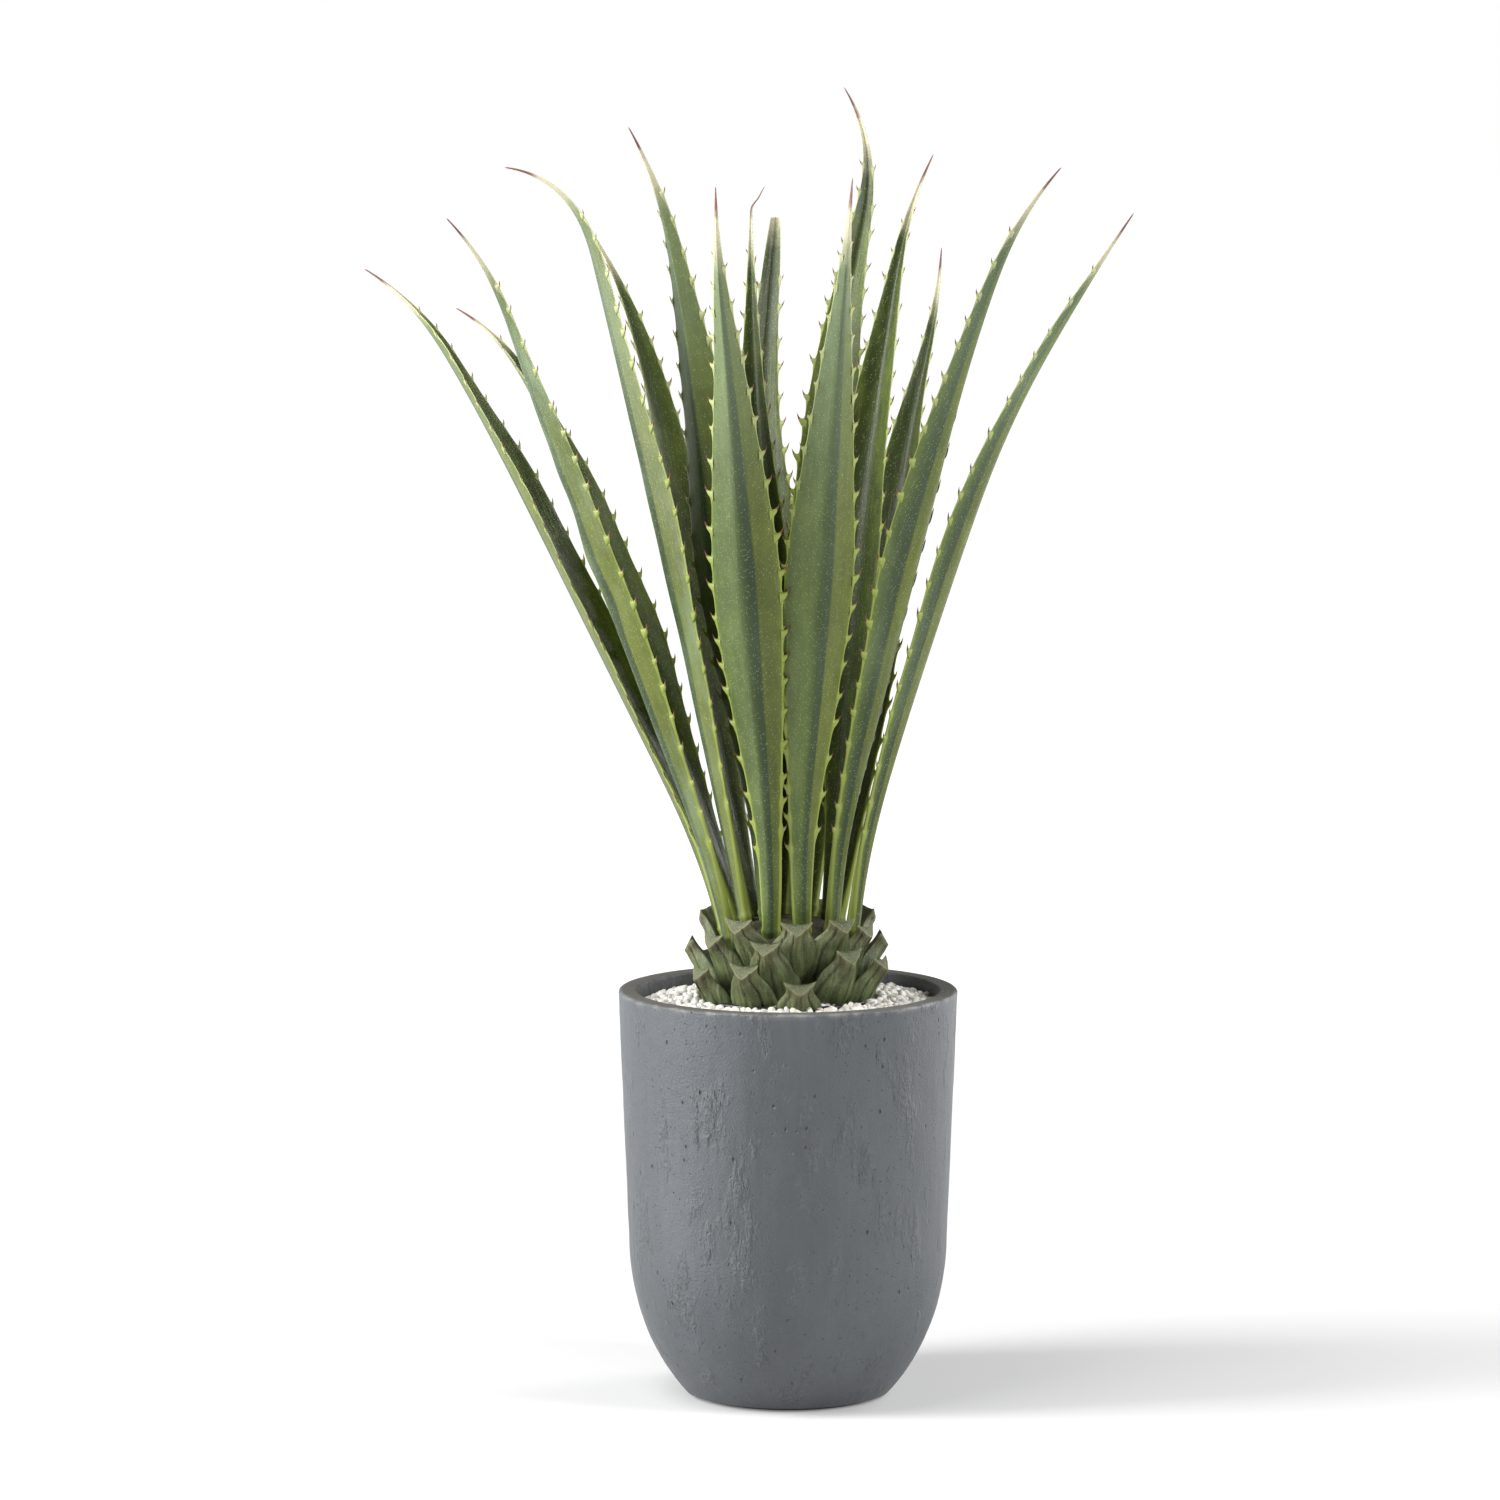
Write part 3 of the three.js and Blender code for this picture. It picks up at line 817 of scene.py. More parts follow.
@dataclass
class Planter:
    """The round planter: a turned clay shell with a rounded lower body, an inset foot and a softened rim."""

    rim_radius: float = 150.0
    rim_height: float = 361.0
    shoulder_radius: float = 141.0
    shoulder_height: float = 140.0
    body_drop: float = 180.0
    foot_radius: float = 84.0
    foot_height: float = 3.0
    wall: float = 17.0
    floor: float = 22.0
    edge: float = 2.6
    unround: float = 0.25
    waviness: float = 0.07
    patch_depth: float = 0.12
    around: int = 400

    def radius(self, height: Numbers) -> Numbers:
        """Return the outside radius at each height."""
        share = (height - self.shoulder_height) / (self.rim_height - self.shoulder_height)
        taper = self.shoulder_radius + (self.rim_radius - self.shoulder_radius) * share
        low = np.clip((self.shoulder_height - height) / self.body_drop, 0, 1)
        return np.where(height >= self.shoulder_height, taper, self.shoulder_radius * np.sqrt(1 - low**2))

    def outline(self) -> Numbers:
        """Return the turned profile as rows of radius, height, rim share and pale rim edge share."""
        rows: list[tuple[float, float, float, float]] = [(0, 0, 0, 0), (40, 0, 0, 0), (self.foot_radius - 0.6, 0, 0, 0)]
        rows += [(self.foot_radius, 0.6, 0, 0), (self.foot_radius, self.foot_height, 0, 0)]
        for height in np.linspace(self.foot_height, self.rim_height - self.edge, 140):
            pale_rim_edge = float(eased(np.array(height), self.rim_height - 6, self.rim_height - 2))
            rows.append((float(self.radius(np.array(height))), float(height), 0, pale_rim_edge * 0.5))
        inner = self.rim_radius - self.wall
        for turn in np.linspace(0, 90, 8)[1:]:
            out = self.rim_radius - self.edge * (1 - math.cos(math.radians(turn)))
            rise = self.rim_height - self.edge * (1 - math.sin(math.radians(turn)))
            rows.append((out, rise, turn / 90, 1 - abs(turn - 45) / 90))
        for radius in np.linspace(self.rim_radius - self.edge, inner + self.edge, 8)[1:]:
            rows.append((float(radius), self.rim_height, 1, 0.05))
        for turn in np.linspace(0, 90, 7)[1:]:
            out = inner + self.edge * (1 - math.sin(math.radians(turn)))
            rise = self.rim_height - self.edge * (1 - math.cos(math.radians(turn)))
            rows.append((out, rise, 1 - turn / 90, 0.4 * (1 - turn / 90)))
        for height in np.linspace(self.rim_height - self.edge, self.floor, 46)[1:]:
            rows.append((float(self.radius(np.array(height))) - self.wall, float(height), 0, 0))
        rows += [(50, self.floor, 0, 0), (0, self.floor, 0, 0)]
        return np.array(rows)

    def build(self) -> Piece:
        """Turn the shell, with the slight unevenness of a hand-pressed pot."""
        outline = self.outline()

        def place(u: Numbers, v: Numbers) -> Placed:
            """Place the grid's vertices."""
            row = v * (len(outline) - 1)
            parts = [np.interp(row, np.arange(len(outline)), outline[:, k]) for k in range(4)]
            angle = 2 * math.pi * u
            ring = np.stack([np.cos(angle), np.sin(angle)], 1)
            around = np.column_stack([ring * 150, parts[1]])
            uneven = ripples(around, 14, 110, SEED) * self.unround + ripples(around, 12, 24, SEED + 1) * self.waviness
            patch = eased(ripples(around * np.array([1, 1, 0.4]), 12, 60, SEED + 2), 0.5, 1.3)
            uneven += patch * np.abs(ripples(around, 16, 9, SEED + 4)) * self.patch_depth
            steady = np.clip(parts[0] / 60, 0, 1) * np.clip((parts[1] - 4) / 10, 0, 1)
            spread = parts[0] - np.abs(uneven) * steady
            points = np.column_stack([ring * spread[:, None], parts[1]])
            return points, {"rim": parts[2], "pale_rim_edge": parts[3]}

        return rolled_sheet("planter", self.around, len(outline) - 1, place, TURNED_CREASE)


@dataclass
class NurseryPot:
    """The thin black pot around the trunk, of which only the rolled rim shows."""

    rim: float = 77.0
    foot: float = 56.0
    top: float = 356.0
    bottom: float = 150.0
    wall: float = 2.0
    lip: float = 3.2
    roll: float = 2.4
    band: float = 8.5
    steps: int = 12
    around: int = 96

    def build(self) -> Piece:
        """Turn the pot with its rolled rim."""
        neck, steps = self.rim - self.lip, np.arange(self.steps + 1) / self.steps
        rows = [(0, self.bottom), (self.foot - 2, self.bottom), (self.foot, self.bottom + 2)]
        rows += [(self.foot + (neck - self.foot) * k, self.bottom + 2 + 194 * k) for k in steps[1:]]
        rows += [(self.rim - 1, self.top - self.band - 1.1), (self.rim, self.top - self.band)]
        rows.append((self.rim, self.top - 2.5))
        for turn in np.radians(np.linspace(0, 180, 11)):
            rows.append((self.rim + self.roll * (math.cos(turn) - 1), self.top + self.roll * (math.sin(turn) - 1)))
        inside, drop = neck - self.wall, self.bottom + 8 - self.top
        rows += [(inside + (self.foot - self.wall - inside) * k, self.top - 6 + drop * k) for k in steps]
        rows += [(30, self.bottom + self.wall), (0, self.bottom + self.wall)]
        return turned_skin("nursery_pot_rim", self.around, np.array(rows, float))


@dataclass
class Gravel:
    """The pebbles between planter, nursery pot and trunk, on a bed of the same stone."""

    outer: float = 131.5
    rim_gap: tuple[float, float] = (71.0, 78.5)
    inner: float = 47.0
    wall_height: float = 350.0
    middle_height: float = 356.0
    spacing: float = 6.2
    layers: tuple[float, ...] = (0.0, 3.8)
    bed_bottom: float = 337.0
    bed_tint: float = 0.9
    around: int = 96
    cuts: int = 9
    size: tuple[float, float] = (3.0, 5.0)
    small_share: float = 0.18
    small_size: float = 0.66

    def level(self, radius: Numbers) -> Numbers:
        """Return the height of the pebbles' mean surface at each radius."""
        share = np.clip((self.outer - radius) / (self.outer - self.rim_gap[1]), 0, 1)
        return self.wall_height + (self.middle_height - self.wall_height) * share

    def bed(self) -> Piece:
        """Turn the ring that closes the gaps under the pebbles."""
        inner, outer = self.rim_gap[1] - 0.8, self.outer
        low = self.bed_bottom
        rows = [(inner, low), (outer - 1, low), (outer, low + 7), (100, low + 9.5), (inner, low + 11), (inner, low)]
        return turned_skin("bed", self.around, np.array(rows, float), {"tint": self.bed_tint})

    def pebble(self) -> Piece:
        """Model one round pebble, a unit across, that every stone is cut from."""
        bpy.ops.object.select_all(action="DESELECT")
        bpy.ops.mesh.primitive_ico_sphere_add(subdivisions=2, radius=1)
        return active()

    def stones(self, random: np.random.Generator, unit: Numbers, spots: Numbers) -> tuple[Numbers, Numbers]:
        """Shape a stone at each spot.

        Args:
            random: The seeded generator.
            unit: The round pebble's vertices.
            spots: The middle of each stone.

        Returns:
            The vertices of each stone, and its tint.
        """
        count = len(spots)
        stones = np.repeat(unit[None], count, 0)
        for _ in range(self.cuts):
            facing = random.normal(size=(count, 1, 3))
            facing /= np.linalg.norm(facing, axis=2, keepdims=True)
            reach = random.uniform(0.62, 0.92, (count, 1))
            over = np.clip((stones * facing).sum(2) - reach, 0, None)
            stones = stones - over[..., None] * facing * 0.9
        size = random.uniform(*self.size, (count, 1, 1))
        size = size * np.where(random.random((count, 1, 1)) < self.small_share, self.small_size, 1)
        stones = stones * size * random.uniform(0.72, 1.12, (count, 1, 3))
        turn = np.linalg.qr(random.normal(size=(count, 3, 3)))[0]
        stones = stones @ turn
        tint = np.repeat(random.random((count, 1)), len(unit), 1)
        return stones + spots[:, None], tint

    def spots(self, random: np.random.Generator) -> Numbers:
        """Lay out the stones' middles in two jittered layers."""
        layers = []
        for layer, drop in enumerate(self.layers):
            side = np.arange(-self.outer, self.outer, self.spacing)
            x, y = np.meshgrid(side, side * 0.87)
            x = x + (np.arange(len(side))[:, None] % 2) * self.spacing / 2 + layer * 2.1
            spot = np.column_stack([x.ravel(), y.ravel() + layer * 1.3]) + random.normal(0, 1.0, (x.size, 2))
            far = np.hypot(spot[:, 0], spot[:, 1])
            low, high = self.rim_gap
            keep = (far < self.outer - 3.4) & (far > self.inner) & ((far < low - 3.2) | (far > high + 2.4))
            spot, far = spot[keep], far[keep]
            height = self.level(far) - drop + random.normal(0, 0.9, len(far)) - 2.2
            layers.append(np.column_stack([spot, height]))
        return np.concatenate(layers)

    def build(self) -> Piece:
        """Pour the pebbles over their bed."""
        random = np.random.default_rng(SEED)
        model = self.pebble()
        stones, tint = self.stones(random, read_points(model.data), self.spots(random))
        pile = stamped("pebbles", model, stones, {"tint": tint})
        piece = joined([self.bed(), pile])
        piece.name = "gravel_pebbles"
        return piece


@dataclass
class Trunk:
    """The wrinkled core that the stubs wrap and the leaves rise from."""

    outline: tuple[tuple[float, float], ...] = (
        (0, 302), (38, 302), (41, 310), (45, 345), (52, 372), (58.5, 396),
        (59, 406), (52, 414), (36, 422), (18, 426), (0, 427),
    )

    def build(self) -> Piece:
        """Turn the core and wrinkle it."""
        outline = np.array(self.outline, float)
        reach = np.concatenate([[0], np.cumsum(np.hypot(*np.diff(outline, axis=0).T))])

        def place(u: Numbers, v: Numbers) -> Placed:
            """Place the grid's vertices."""
            at = v * reach[-1]
            radius = np.interp(at, reach, outline[:, 0])
            height = np.interp(at, reach, outline[:, 1])
            angle = 2 * math.pi * u
            points = np.column_stack([radius * np.cos(angle), radius * np.sin(angle), height])
            relief = ripples(points, 24, 14, SEED + 3) * 0.8
            points *= (1 + relief / 60 * np.clip(radius / 20, 0, 1))[:, None] ** np.array([1, 1, 0])
            return points, {}

        return rolled_sheet("trunk_core", 140, 90, place)


@dataclass
class Stub:
    """A cut leaf stub that hugs the trunk and leans out to its cut."""

    node: str
    toward: float
    height: float
    reach: float
    wide: float = 1.0
    around: int = 88
    along: int = 50
    at: tuple[float, ...] = (0, 0.3, 0.6, 0.85, 1)
    down: tuple[float, ...] = (54, 38, 20, 7, 0)
    inward: tuple[float, ...] = (36, 22, 13, 5, 0)
    width: tuple[float, ...] = (40, 46, 38, 24, 26)
    thickness: tuple[float, ...] = (12, 15, 14, 12, 11)
    cap: float = 0.12
    root: float = 0.04
    wrap: float = 0.28
    slope_step: float = 0.02
    seed: int = 0

    def build(self) -> Piece:
        """Loft the stub, fold its skin lengthwise and close it with a slanting wedge-shaped cut."""
        random = np.random.default_rng(SEED + self.seed)
        turn = math.radians(self.toward)
        out = np.array([math.cos(turn), math.sin(turn), 0])
        side = np.array([-math.sin(turn), math.cos(turn), 0])
        up = np.array([0, 0, 1.0])
        folds = random.uniform(9, 13)
        phase = random.uniform(0, 6.28, 3)
        twist = random.uniform(-0.5, 0.5)
        bend = random.uniform(-3.0, 3.0)
        slant = random.uniform(0.4, 0.7)

        def groove(wave: Numbers) -> Numbers:
            """Return round-topped folds between sharp grooves."""
            return 2 * np.abs(np.sin(wave / 2)) ** 0.6 - 1

        def place(u: Numbers, v: Numbers) -> Placed:
            """Place the grid's vertices."""
            angle = 2 * math.pi * u + math.pi / 2
            t = np.clip((v - self.root) / (1 - self.cap - self.root), 0, 1)
            on_cap = np.clip((v - (1 - self.cap)) / self.cap, 0, 1)
            shrink = (1 - on_cap) * np.clip(v / self.root, 0, 1)
            across, turned = np.cos(angle), np.sin(angle)
            ahead, behind = np.clip(t + self.slope_step, 0, 1), np.clip(t - self.slope_step, 0, 1)
            run = through(self.at, self.inward, behind) - through(self.at, self.inward, ahead)
            climb = through(self.at, self.down, behind) - through(self.at, self.down, ahead)
            lean = np.arctan2(run, climb)
            half = through(self.at, self.width, t) / 2 * self.wide + 1.2 * eased(t, 0.88, 1)
            thick = through(self.at, self.thickness, t) / 2
            wedge = eased(t, 0.5, 1)
            belly = 0.75 * np.abs(turned) + 0.38 * (1 - np.abs(across))
            outer = thick * ((1 - wedge) * belly + wedge * 1.55 * (1 - np.abs(across)) ** 0.9)
            inner = thick * np.abs(turned) * (0.62 - 0.42 * wedge)
            fade = eased(t, 0.0, 0.2) * (1 - 0.35 * eased(t, 0.85, 1))
            weave = across * folds + twist * t * 6 + 0.6 * np.sin(t * 7 + phase[0])
            relief = groove(weave + phase[1]) * 0.6 + groove(weave * 2.3 + phase[2] + t * 3) * 0.4
            relief = relief * fade * np.sqrt(np.abs(turned) + 0.02)
            depth = (np.where(turned < 0, outer + relief * 1.05, -inner - relief * 0.3)) * shrink
            ending = eased(t, 0.7, 1)
            along_spine = -slant * depth * ending + 0.9 * np.abs(across) ** 3 * ending * shrink
            along_spine -= eased(on_cap, 0.0, 0.5) * 0.7
            depth = depth - half * self.wrap * across**2 * shrink
            radial = self.reach - through(self.at, self.inward, t) + depth * np.cos(lean) + along_spine * np.sin(lean)
            upward = self.height - through(self.at, self.down, t) - depth * np.sin(lean) + along_spine * np.cos(lean)
            aside = half * across * (1 + 0.03 * relief) * shrink + bend * t**2
            points = out * radial[:, None] + side * aside[:, None] + up * upward[:, None]
            skin = np.column_stack([half * across, t * 60, np.full(len(t), self.seed * 40.0)]) * MM
            cut = (on_cap > 0.001).astype(float)
            lip = eased(t, 0.94, 1.0) * (1 - on_cap)
            return points, {"cut": cut, "lip": lip, "relief": relief, "along": t, "skin": skin}

        return rolled_sheet("cut_" + self.node, self.around, self.along, place, 42)


@dataclass
class Tooth:
    """The hooked edge tooth: a fleshy base that narrows to a spine, as stations along its middle line."""

    at: tuple[float, ...] = (0, 0.22, 0.45, 0.7, 1)
    out: tuple[float, ...] = (-2.2, 1.0, 3.0, 4.6, 6.2)
    up: tuple[float, ...] = (-1.5, -0.4, 1.0, 3.2, 6.8)
    along: tuple[float, ...] = (5.4, 3.2, 1.8, 1.0, 0.08)
    thick: tuple[float, ...] = (1.1, 1.15, 0.95, 0.62, 0.08)

    def build(self) -> Piece:
        """Model the tooth once: out along X, up the leaf along Y and through the leaf along Z."""

        def place(u: Numbers, v: Numbers) -> Placed:
            """Place the grid's vertices."""
            angle = 2 * math.pi * u
            x = through(self.at, self.out, v) - np.cos(angle) * through(self.at, self.along, v) * 0.45 * v
            y = through(self.at, self.up, v) + np.cos(angle) * through(self.at, self.along, v)
            z = np.sin(angle) * through(self.at, self.thick, v)
            return np.column_stack([x, y, z]), {"tooth": v}

        return rolled_sheet("tooth", 6, 6, place, 60)


@dataclass(frozen=True)
class Dent:
    """A soft crease pressed into a leaf: where it is along and across, how deep, long and wide."""

    along: float
    across: float
    depth: float
    length: float = 0.05
    width: float = 0.3


@dataclass
class Leaf:
    """A channelled, toothed leaf from its round foot to its needle."""

    node: str
    foot: tuple[float, float, float]
    length: float
    width: float
    east: tuple[float, ...]
    north: tuple[float, ...]
    outward: float
    fold: tuple[float, ...] = (16, 24, 40)
    dents: tuple[Dent, ...] = ()
    hook: float = 0.0
    wave: float = 1.2
    tone: float = 0.0
    crease: float = 0.25
    tip: float = 1.0
    seed: int = 0
    around: int = 40
    along: int = 300
    peg_radius: float = 6.4
    peg_depth: float = 20.0
    peg_taper: float = 12.0
    buried: float = 0.03
    blade_from: float = 0.12
    gap: tuple[float, float] = (21.0, 34.0)
    width_at: tuple[float, ...] = (0, 0.04, 0.13, 0.22, 0.33, 0.47, 0.62, 0.75, 0.86, 0.93, 1)
    width_share: tuple[float, ...] = (0.23, 0.27, 0.37, 0.55, 0.8, 1, 0.78, 0.5, 0.25, 0.11, 0.015)
    thick_at: tuple[float, ...] = (0, 0.04, 0.12, 0.3, 0.6, 0.85, 1)
    thick: tuple[float, ...] = (13, 12, 10, 7.5, 5.5, 3.4, 0.9)

    def middle(self, t: Numbers) -> tuple[Numbers, Numbers, Numbers, Numbers]:
        """Follow the leaf's middle line.

        Args:
            t: The shares along the leaf.

        Returns:
            The places, headings, inward directions and side directions there.
        """
        fine = np.linspace(0, 1, 401)
        east = np.radians(through(LEAN_AT, self.east, fine))
        north = np.radians(through(HALVES, self.north, fine))
        heading = np.stack([np.sin(east) * np.cos(north), np.sin(north), np.cos(east) * np.cos(north)], 1)
        steps = (heading[1:] + heading[:-1]) / 2 * self.length / 400
        places = np.array(self.foot) + np.vstack([np.zeros(3), np.cumsum(steps, 0)])
        turn = math.radians(self.outward)
        inward = np.array([-math.cos(turn), -math.sin(turn), 0])
        inwards = []
        for direction in heading:
            inward = inward - (inward @ direction) * direction
            inward /= np.linalg.norm(inward)
            inwards.append(inward)
        sides = np.cross(heading, np.array(inwards))
        tables = (places, heading, np.array(inwards), sides)
        found = [np.stack([np.interp(t, fine, part[:, k]) for k in range(3)], 1) for part in tables]
        return found[0], found[1], found[2], found[3]

    def teeth_at(self, edge: int) -> Numbers:
        """Choose where the teeth stand on one edge, in millimetres from the foot."""
        random = np.random.default_rng(SEED + 40 * self.seed + edge)
        gaps = random.uniform(*self.gap, 60)
        stands = 0.075 * self.length + random.uniform(0, 22) + np.cumsum(gaps)
        return stands[stands < 0.925 * self.length]

    def swelling(self, t: Numbers, edge: int) -> Numbers:
        """Return how near a tooth each place on an edge is, from 0 to 1, drawn out below the tooth."""
        total = np.zeros(len(t))
        for stand in self.teeth_at(edge):
            away = t * self.length - stand
            reach = np.where(away < 0, 7.5, 3.2)
            total = np.maximum(total, np.exp(-((away / reach) ** 2)))
        return total

    def section(self, t: Numbers, angle: Numbers) -> tuple[Numbers, Numbers, Numbers, Numbers]:
        """Shape the leaf's skin.

        Args:
            t: The shares along the leaf.
            angle: The direction round the skin, 0 and pi at the edges and below pi on the inner face.

        Returns:
            The distances to the side and inward, the distance to the nearest edge and the swelling at the teeth.
        """
        across, turned = np.cos(angle), np.sin(angle)
        half = self.width / 2 * through(self.width_at, self.width_share, t)
        half = np.maximum(half, self.peg_radius * (1 - t * self.peg_taper))
        blade = np.clip(t / self.blade_from, 0, 1)
        near = np.where(across > 0, self.swelling(t, 1), self.swelling(t, -1))
        swell = near * 2.0 * eased(t, 0.05, 0.12) * np.clip(half / 12, 0.3, 1)
        fold = np.radians(through(HALVES, self.fold, t)) * blade
        rounding = np.where(turned > 0, 0.3, 0.1)
        rise = (np.hypot(across, rounding) - rounding) / (np.hypot(1, rounding) - rounding)
        body = through(self.thick_at, self.thick, t) / 2
        keel = (1 - np.abs(across)) * 0.45 + np.abs(turned) * 0.6
        face = np.where(turned < 0, -keel, np.abs(turned) * 0.9)
        thick = body * (face * blade + turned * (1 - blade))
        wide = half + swell * np.abs(across) ** 8
        random = np.random.default_rng(SEED + self.seed)
        turns = random.uniform(2.5, 4.5)
        phase = random.uniform(0, 6.28, 2)
        waving = np.sin(turns * 2 * math.pi * t + np.where(across > 0, phase[0], phase[1])) * self.wave
        waving *= across**2 * eased(t, 0.15, 0.4) * (1 - eased(t, 0.8, 0.95))
        inward = half * np.sin(fold) * rise + thick + waving
        for dent in self.dents:
            pressed = np.exp(-(((t - dent.along) / dent.length) ** 2) - ((across - dent.across) / dent.width) ** 2)
            inward += dent.depth * pressed
        return wide * np.cos(fold) * across, inward, half * (1 - np.abs(across)), near

    def skin(self, u: Numbers, v: Numbers) -> Placed:
        """Place the leaf's skin, with the buried peg and its ring joint."""
        t = np.clip((v - self.buried) / (1 - self.buried), 0, 1)
        angle = 2 * math.pi * u
        places, heading, inward, side = self.middle(t)
        aside, inwards, edge, near = self.section(t, angle)
        down = np.clip(1 - v / self.buried, 0, 1)
        close = np.clip(v / 0.006, 0, 1) * np.clip((1 - v) / 0.002, 0, 1)
        collar = 1 + 0.16 * np.exp(-(((t * self.length - 7) / 2.2) ** 2))
        points = places - heading * (down * self.peg_depth)[:, None]
        points = points + side * (aside * close * collar)[:, None] + inward * (inwards * close * collar)[:, None]
        crook = eased(t, 0.965, 0.985) * self.hook * (t - 0.965) * self.length
        points = points + side * crook[:, None]
        values = {
            "along": t * self.tip,
            "edge": edge,
            "keel": -np.cos(angle) - self.crease,
            "skin": np.column_stack([aside, t * self.length, t * 0 + self.seed * 60]) * MM,
            "inside": eased(np.sin(angle), -0.08, 0.08),
            "near": near,
            "tooth": np.zeros(len(t)),
            "tone": np.full(len(t), self.tone),
        }
        return points, values

    def teeth(self) -> Piece:
        """Set a copy of the tooth at each stand, turned with the edge and sized to the leaf there."""
        model = Tooth().build()
        unit = read_points(model.data) / MM
        random = np.random.default_rng(SEED + 7 * self.seed)
        spine = np.empty(len(unit), np.float32)
        model.data.attributes["tooth"].data.foreach_get("value", spine)
        rows, along, edges = [], [], []
        for edge in (1, -1):
            stands = self.teeth_at(edge) / self.length
            angle = np.where(edge > 0, 0.0, math.pi) * np.ones(len(stands))
            places, heading, inward, side = self.middle(stands)
            aside, inwards, _, _ = self.section(stands, angle)
            fold = np.radians(through(HALVES, self.fold, stands))
            away = side * (edge * np.cos(fold))[:, None] + inward * np.sin(fold)[:, None]
            roots = places + side * aside[:, None] + inward * inwards[:, None] - away * 1.6
            through_leaf = np.cross(heading, away)
            share = through(self.width_at, self.width_share, stands)
            size = random.uniform(0.85, 1.2, len(stands)) * (0.6 + 0.4 * share)
            shape = unit[None] * size[:, None, None]
            row = roots[:, None] + shape[..., :1] * away[:, None] + shape[..., 1:2] * heading[:, None]
            row = row + shape[..., 2:] * through_leaf[:, None]
            rows.append(row)
            along.append(np.repeat(stands[:, None], len(unit), 1))
            edges.append(np.zeros((len(stands), len(unit))))
        copies = np.concatenate(rows)
        values = {
            "along": np.minimum(np.concatenate(along), 0.95),
            "edge": np.concatenate(edges),
            "inside": np.zeros(copies.shape[:2]),
            "keel": np.ones(copies.shape[:2]),
            "near": np.ones(copies.shape[:2]),
            "tooth": np.repeat(spine[None], len(copies), 0),
            "tone": np.full(copies.shape[:2], self.tone),
        }
        return stamped("teeth", model, copies, values)

    def build(self) -> Piece:
        """Model the leaf and set its teeth."""
        blade = rolled_sheet("blade_" + self.node, self.around, self.along, self.skin, 60)
        return joined([blade, self.teeth()])


@dataclass
class Agave:
    """The whole plant: trunk, stubs and leaves."""

    trunk: Trunk = field(default_factory=Trunk)

    def stubs(self) -> list[Stub]:
        """List the stubs from the lowest up, by compass direction, height of the cut and reach."""
        plan = [
            (278, 377, 90), (207, 384, 90), (241, 391, 88), (338, 391, 89), (18, 382, 88), (60, 388, 88),
            (102, 380, 90), (146, 388, 88), (309, 403, 88), (182, 404, 87), (0, 409, 84), (38, 408, 85),
            (82, 404, 86), (124, 406, 85), (214, 414, 83), (257, 411, 80), (332, 421, 79), (160, 427, 80),
            (236, 429, 77), (274, 428, 79), (306, 429, 79), (20, 428, 78), (62, 430, 77), (108, 429, 78),
        ]
        return [Stub(f"leaf_stub_{k + 1:02d}", *row, seed=k) for k, row in enumerate(plan)]

    def leaves(self) -> list[Leaf]:
        """List the leaves with their leans in degrees, east and north, from foot to tip."""
        plan: list[tuple] = [
            ((-54, 8, 408), 680, 66, (-15, -27, -27, -31, -58), (4, 8, 10), 165, dict(tone=0.2)),
            ((-50, -30, 406), 695, 58, (-13, -21, -20, -18, -42), (-6, -10, -12), 205, dict(tone=0.9,
              dents=(Dent(0.4, 0.4, 2.8), Dent(0.47, -0.3, 2.4, 0.03), Dent(0.53, 0.3, -2.2, 0.025),
                        Dent(0.6, 0.0, 2.4, 0.03), Dent(0.68, 0.3, 2.0, 0.03)))),
            ((-42, 26, 412), 625, 62, (-18, -21, -22, -28, -60), (10, 14, 16), 150, {}),
            ((-36, -6, 420), 720, 64, (-12, -13, -13, -14, -82), (2, 4, 4), 192, dict(tone=0.7,
              dents=(Dent(0.58, 0.4, 2.2, 0.03), Dent(0.48, 0.4, 1.8, 0.03), Dent(0.35, -0.2, 1.5)))),
            ((-28, 42, 414), 680, 60, (-13, -11, -11, -18, -35), (14, 20, 22), 130, dict(tone=0.9)),
            ((-18, -12, 424), 710, 70, (-4, -10, -7, -11, -28), (3, 5, 5), 235, dict(crease=-0.05)),
            ((-15, -44, 412), 685, 66, (0, -6, -4, -5, 0), (-8, -17, -14), 258, dict(crease=0.3)),
            ((12, -44, 412), 690, 66, (-1, 4, 4, 4, 4), (-8, -16, -14), 280, dict(crease=0.25, tone=0.1)),
            ((-4, 14, 426), 645, 50, (3, -3, -5, -2, 0), (5, 8, 8), 60, dict(hook=0.6, tone=-0.5)),
            ((2, 46, 414), 655, 58, (-4, 0, -8, 5, 5), (12, 20, 20), 92, dict(tone=-0.8, tip=0.93,
              width_share=(0.23, 0.27, 0.37, 0.55, 0.8, 1, 0.8, 0.6, 0.42, 0.34, 0.2))),
            ((18, 20, 424), 750, 64, (8, 1, 4, 11, -32), (8, 12, 12), 78, dict(tone=0.3)),
            ((36, 0, 420), 685, 66, (6, 4, 7, 9, 25), (3, 5, 5), 52, dict(tone=0.1)),
            ((42, 30, 412), 630, 66, (13, 9, 8, 12, 2), (10, 18, 18), 45, dict(tone=-0.3)),
            ((38, -30, 412), 715, 66, (4, 14, 14, 19, 40), (-6, -9, -9), 325, dict(tone=0.25, crease=-0.4)),
            ((56, -10, 408), 690, 62, (6, 17, 19, 30, 33), (-4, -5, -5), 345, dict(tone=0.2, crease=-0.5)),
        ]
        return [Leaf(f"leaf_{k:02d}", *row, seed=k, **more) for k, (*row, more) in enumerate(plan, 1)]


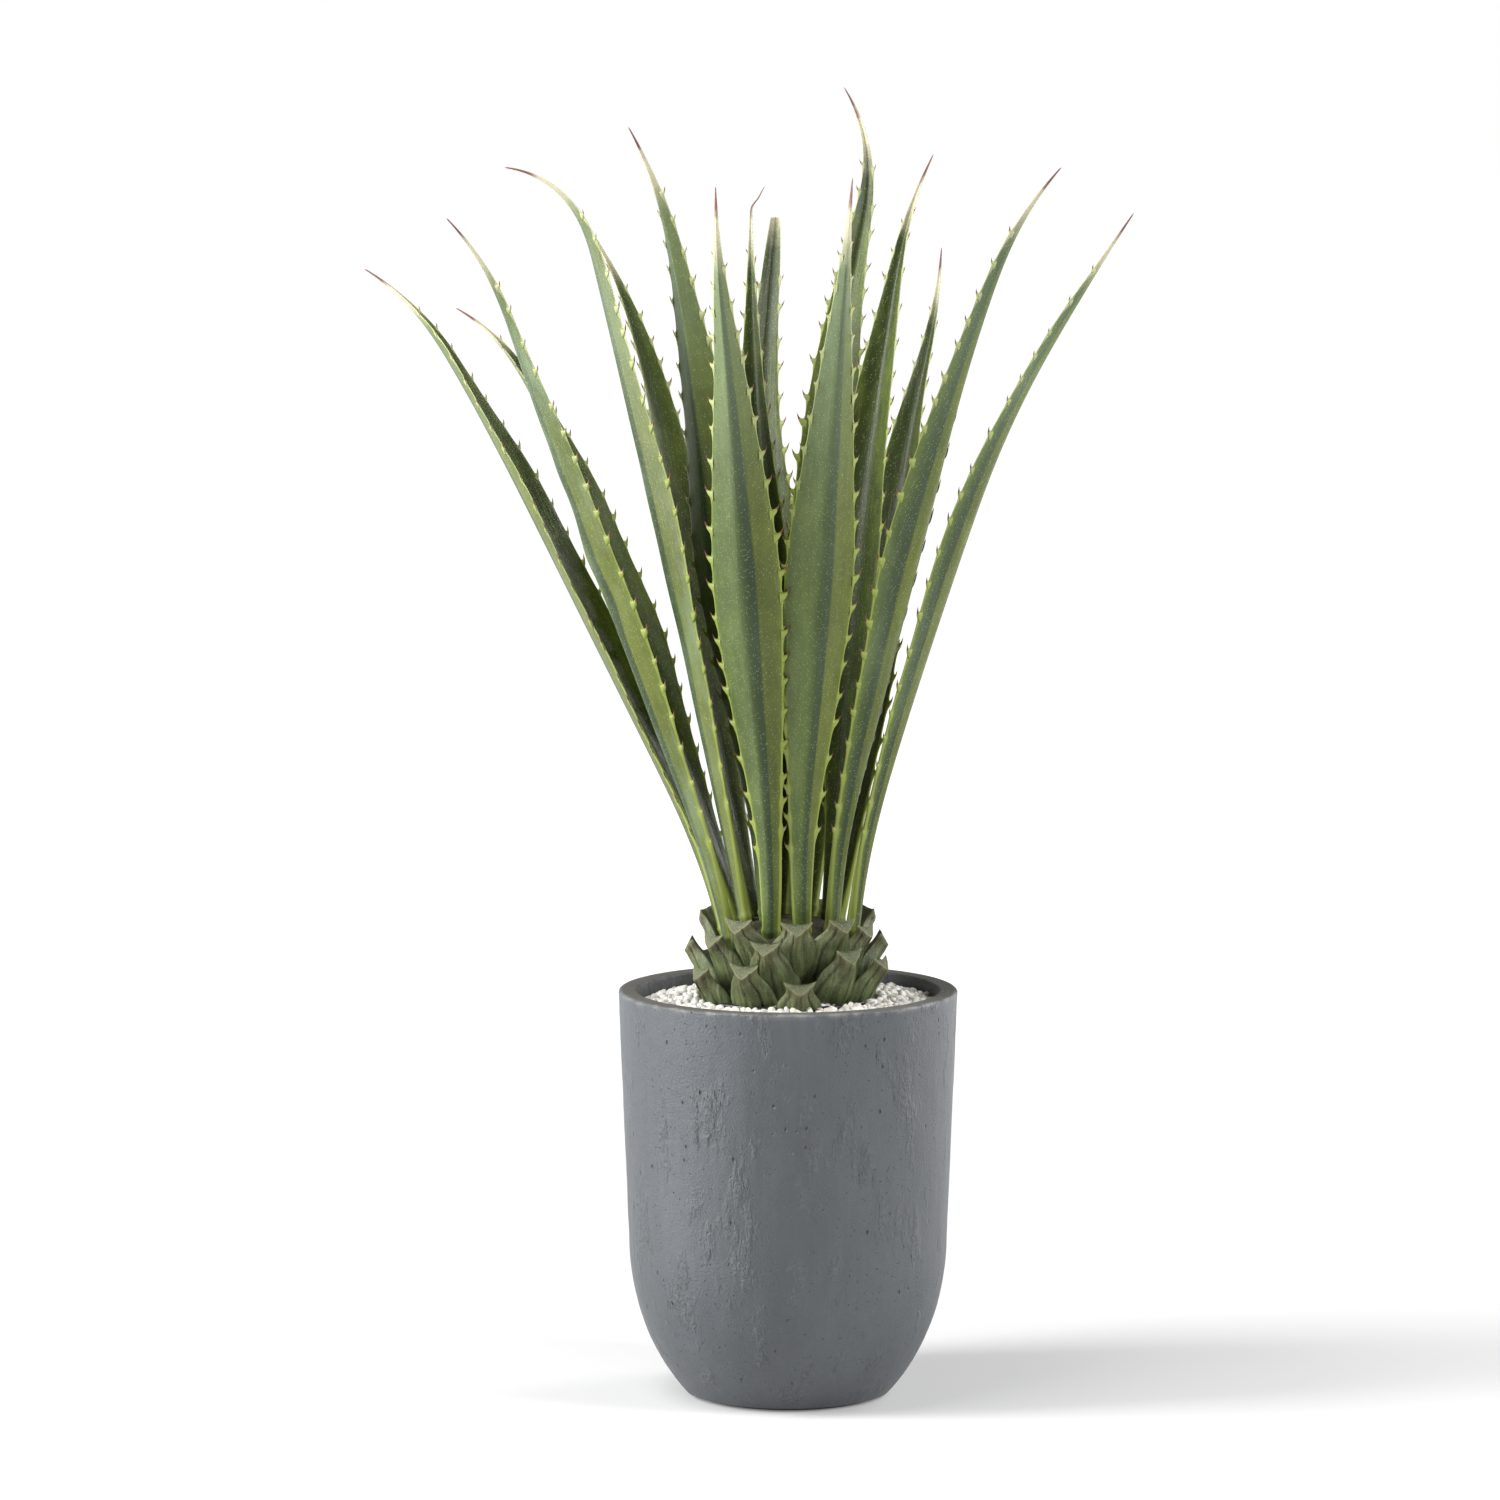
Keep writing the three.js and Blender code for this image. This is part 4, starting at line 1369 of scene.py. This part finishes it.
@dataclass
class Studio:
    """A pale floor, soft lights and the camera."""

    camera_at: tuple[float, float, float] = (-0.0336, -5.5, 1.2)
    tilt: float = 6.5
    lens: float = 151.0
    aim: float = 0.55
    sky: float = 0.14
    ground: Shade = Shade(205, 205, 205)
    near_glow: Shade = Shade(110, 110, 110)
    far_glow: Shade = Shade(250, 250, 250)
    lamps: tuple[tuple, ...] = (
        ("key", (2.6, -1.2, 1.9), (0.9, 2.0), 84),
        ("left_edge", (-2.4, -0.5, 1.4), (0.9, 2.6), 130),
        ("right_edge", (2.2, 1.6, 1.3), (0.9, 2.4), 44),
        ("top", (-0.9, -0.6, 2.9), (1.2, 1.2), 34),
    )

    def camera(self) -> None:
        """Set the camera in front of the plant, looking slightly down."""
        bpy.ops.object.camera_add(location=self.camera_at, rotation=(math.radians(90 - self.tilt), 0, 0))
        camera = active()
        camera.data.lens = self.lens
        camera.data.sensor_width = 36
        camera.data.clip_end = 60
        bpy.context.scene.camera = camera

    def floor(self) -> None:
        """Lay a wide pale floor."""
        bpy.ops.mesh.primitive_plane_add(size=60, location=(0, 0, 0))
        floor = active()
        floor.name = "studio_floor"
        material, graph = fresh("studio_white")
        surface = graph.surface(self.ground, 0.9, shine=0.0)
        reach = graph.add("ShaderNodeVectorMath", operation="LENGTH")
        graph.feed(reach.inputs[0], graph.place())
        glow = graph.blend(graph.fade(reach.outputs["Value"], 0.6, 3.4), self.near_glow, self.far_glow)
        graph.feed(surface.inputs["Emission Color"], glow)
        surface.inputs["Emission Strength"].default_value = 1.0
        floor.data.materials.append(material)

    def lamp(self, name: str, place: tuple[float, float, float], size: tuple[float, float], power: float) -> None:
        """Hang a soft box that faces the plant.

        Args:
            name: The lamp's name.
            place: Where it hangs, in metres.
            size: Its width and height.
            power: Its power in watts.
        """
        bpy.ops.object.light_add(type="AREA", location=place)
        lamp = active()
        lamp.name = name
        lamp.data.shape = "RECTANGLE"
        lamp.data.size, lamp.data.size_y = size
        lamp.data.energy = power
        toward = Vector((0, 0, self.aim)) - lamp.location
        lamp.rotation_euler = toward.to_track_quat("-Z", "Y").to_euler()

    def build(self) -> None:
        """Set up the studio."""
        self.camera()
        self.floor()
        for row in self.lamps:
            self.lamp(*row)
        world = bpy.data.worlds.new("studio")
        bpy.context.scene.world = world
        world.use_nodes = True
        background = world.node_tree.nodes["Background"]
        background.inputs["Color"].default_value = (1, 1, 1, 1)
        graph = Graph(world.node_tree)
        seen = graph.add("ShaderNodeLightPath").outputs["Is Camera Ray"]
        graph.feed(background.inputs["Strength"], graph.plus(self.sky, graph.times(seen, 1 - self.sky)))
        bpy.context.scene.view_settings.view_transform = "Standard"


def main() -> None:
    """Build every piece in order, dress it and report it."""
    logging.basicConfig(level=logging.INFO, format="%(name)s: %(message)s")
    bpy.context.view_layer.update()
    Studio().build()
    effects = Effects()
    hand_in(Planter().build(), ClayFinish().build(effects), ["planter_pot"])
    hand_in(NurseryPot().build(), PlasticFinish().build(effects), ["nursery_pot"])
    hand_in(Gravel().build(), PebbleFinish().build(effects), ["gravel"])
    soil = SoilFinish().build(effects)
    for node in ("pot_filling", "nursery_filling"):
        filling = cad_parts[node]
        filling.data.materials.clear()
        filling.data.materials.append(soil)
        LOG.info("%s keeps its solid, as dry soil", node)
    plant = Agave()
    hand_in(plant.trunk.build(), TrunkFinish().build(effects), ["trunk"])
    skin = StubFinish().build(effects)
    for stub in plant.stubs():
        hand_in(stub.build(), skin, [stub.node])
    leaf_skin = LeafFinish().build(effects)
    for leaf in plant.leaves():
        hand_in(leaf.build(), leaf_skin, [leaf.node])


if __name__ == "__main__":
    main()
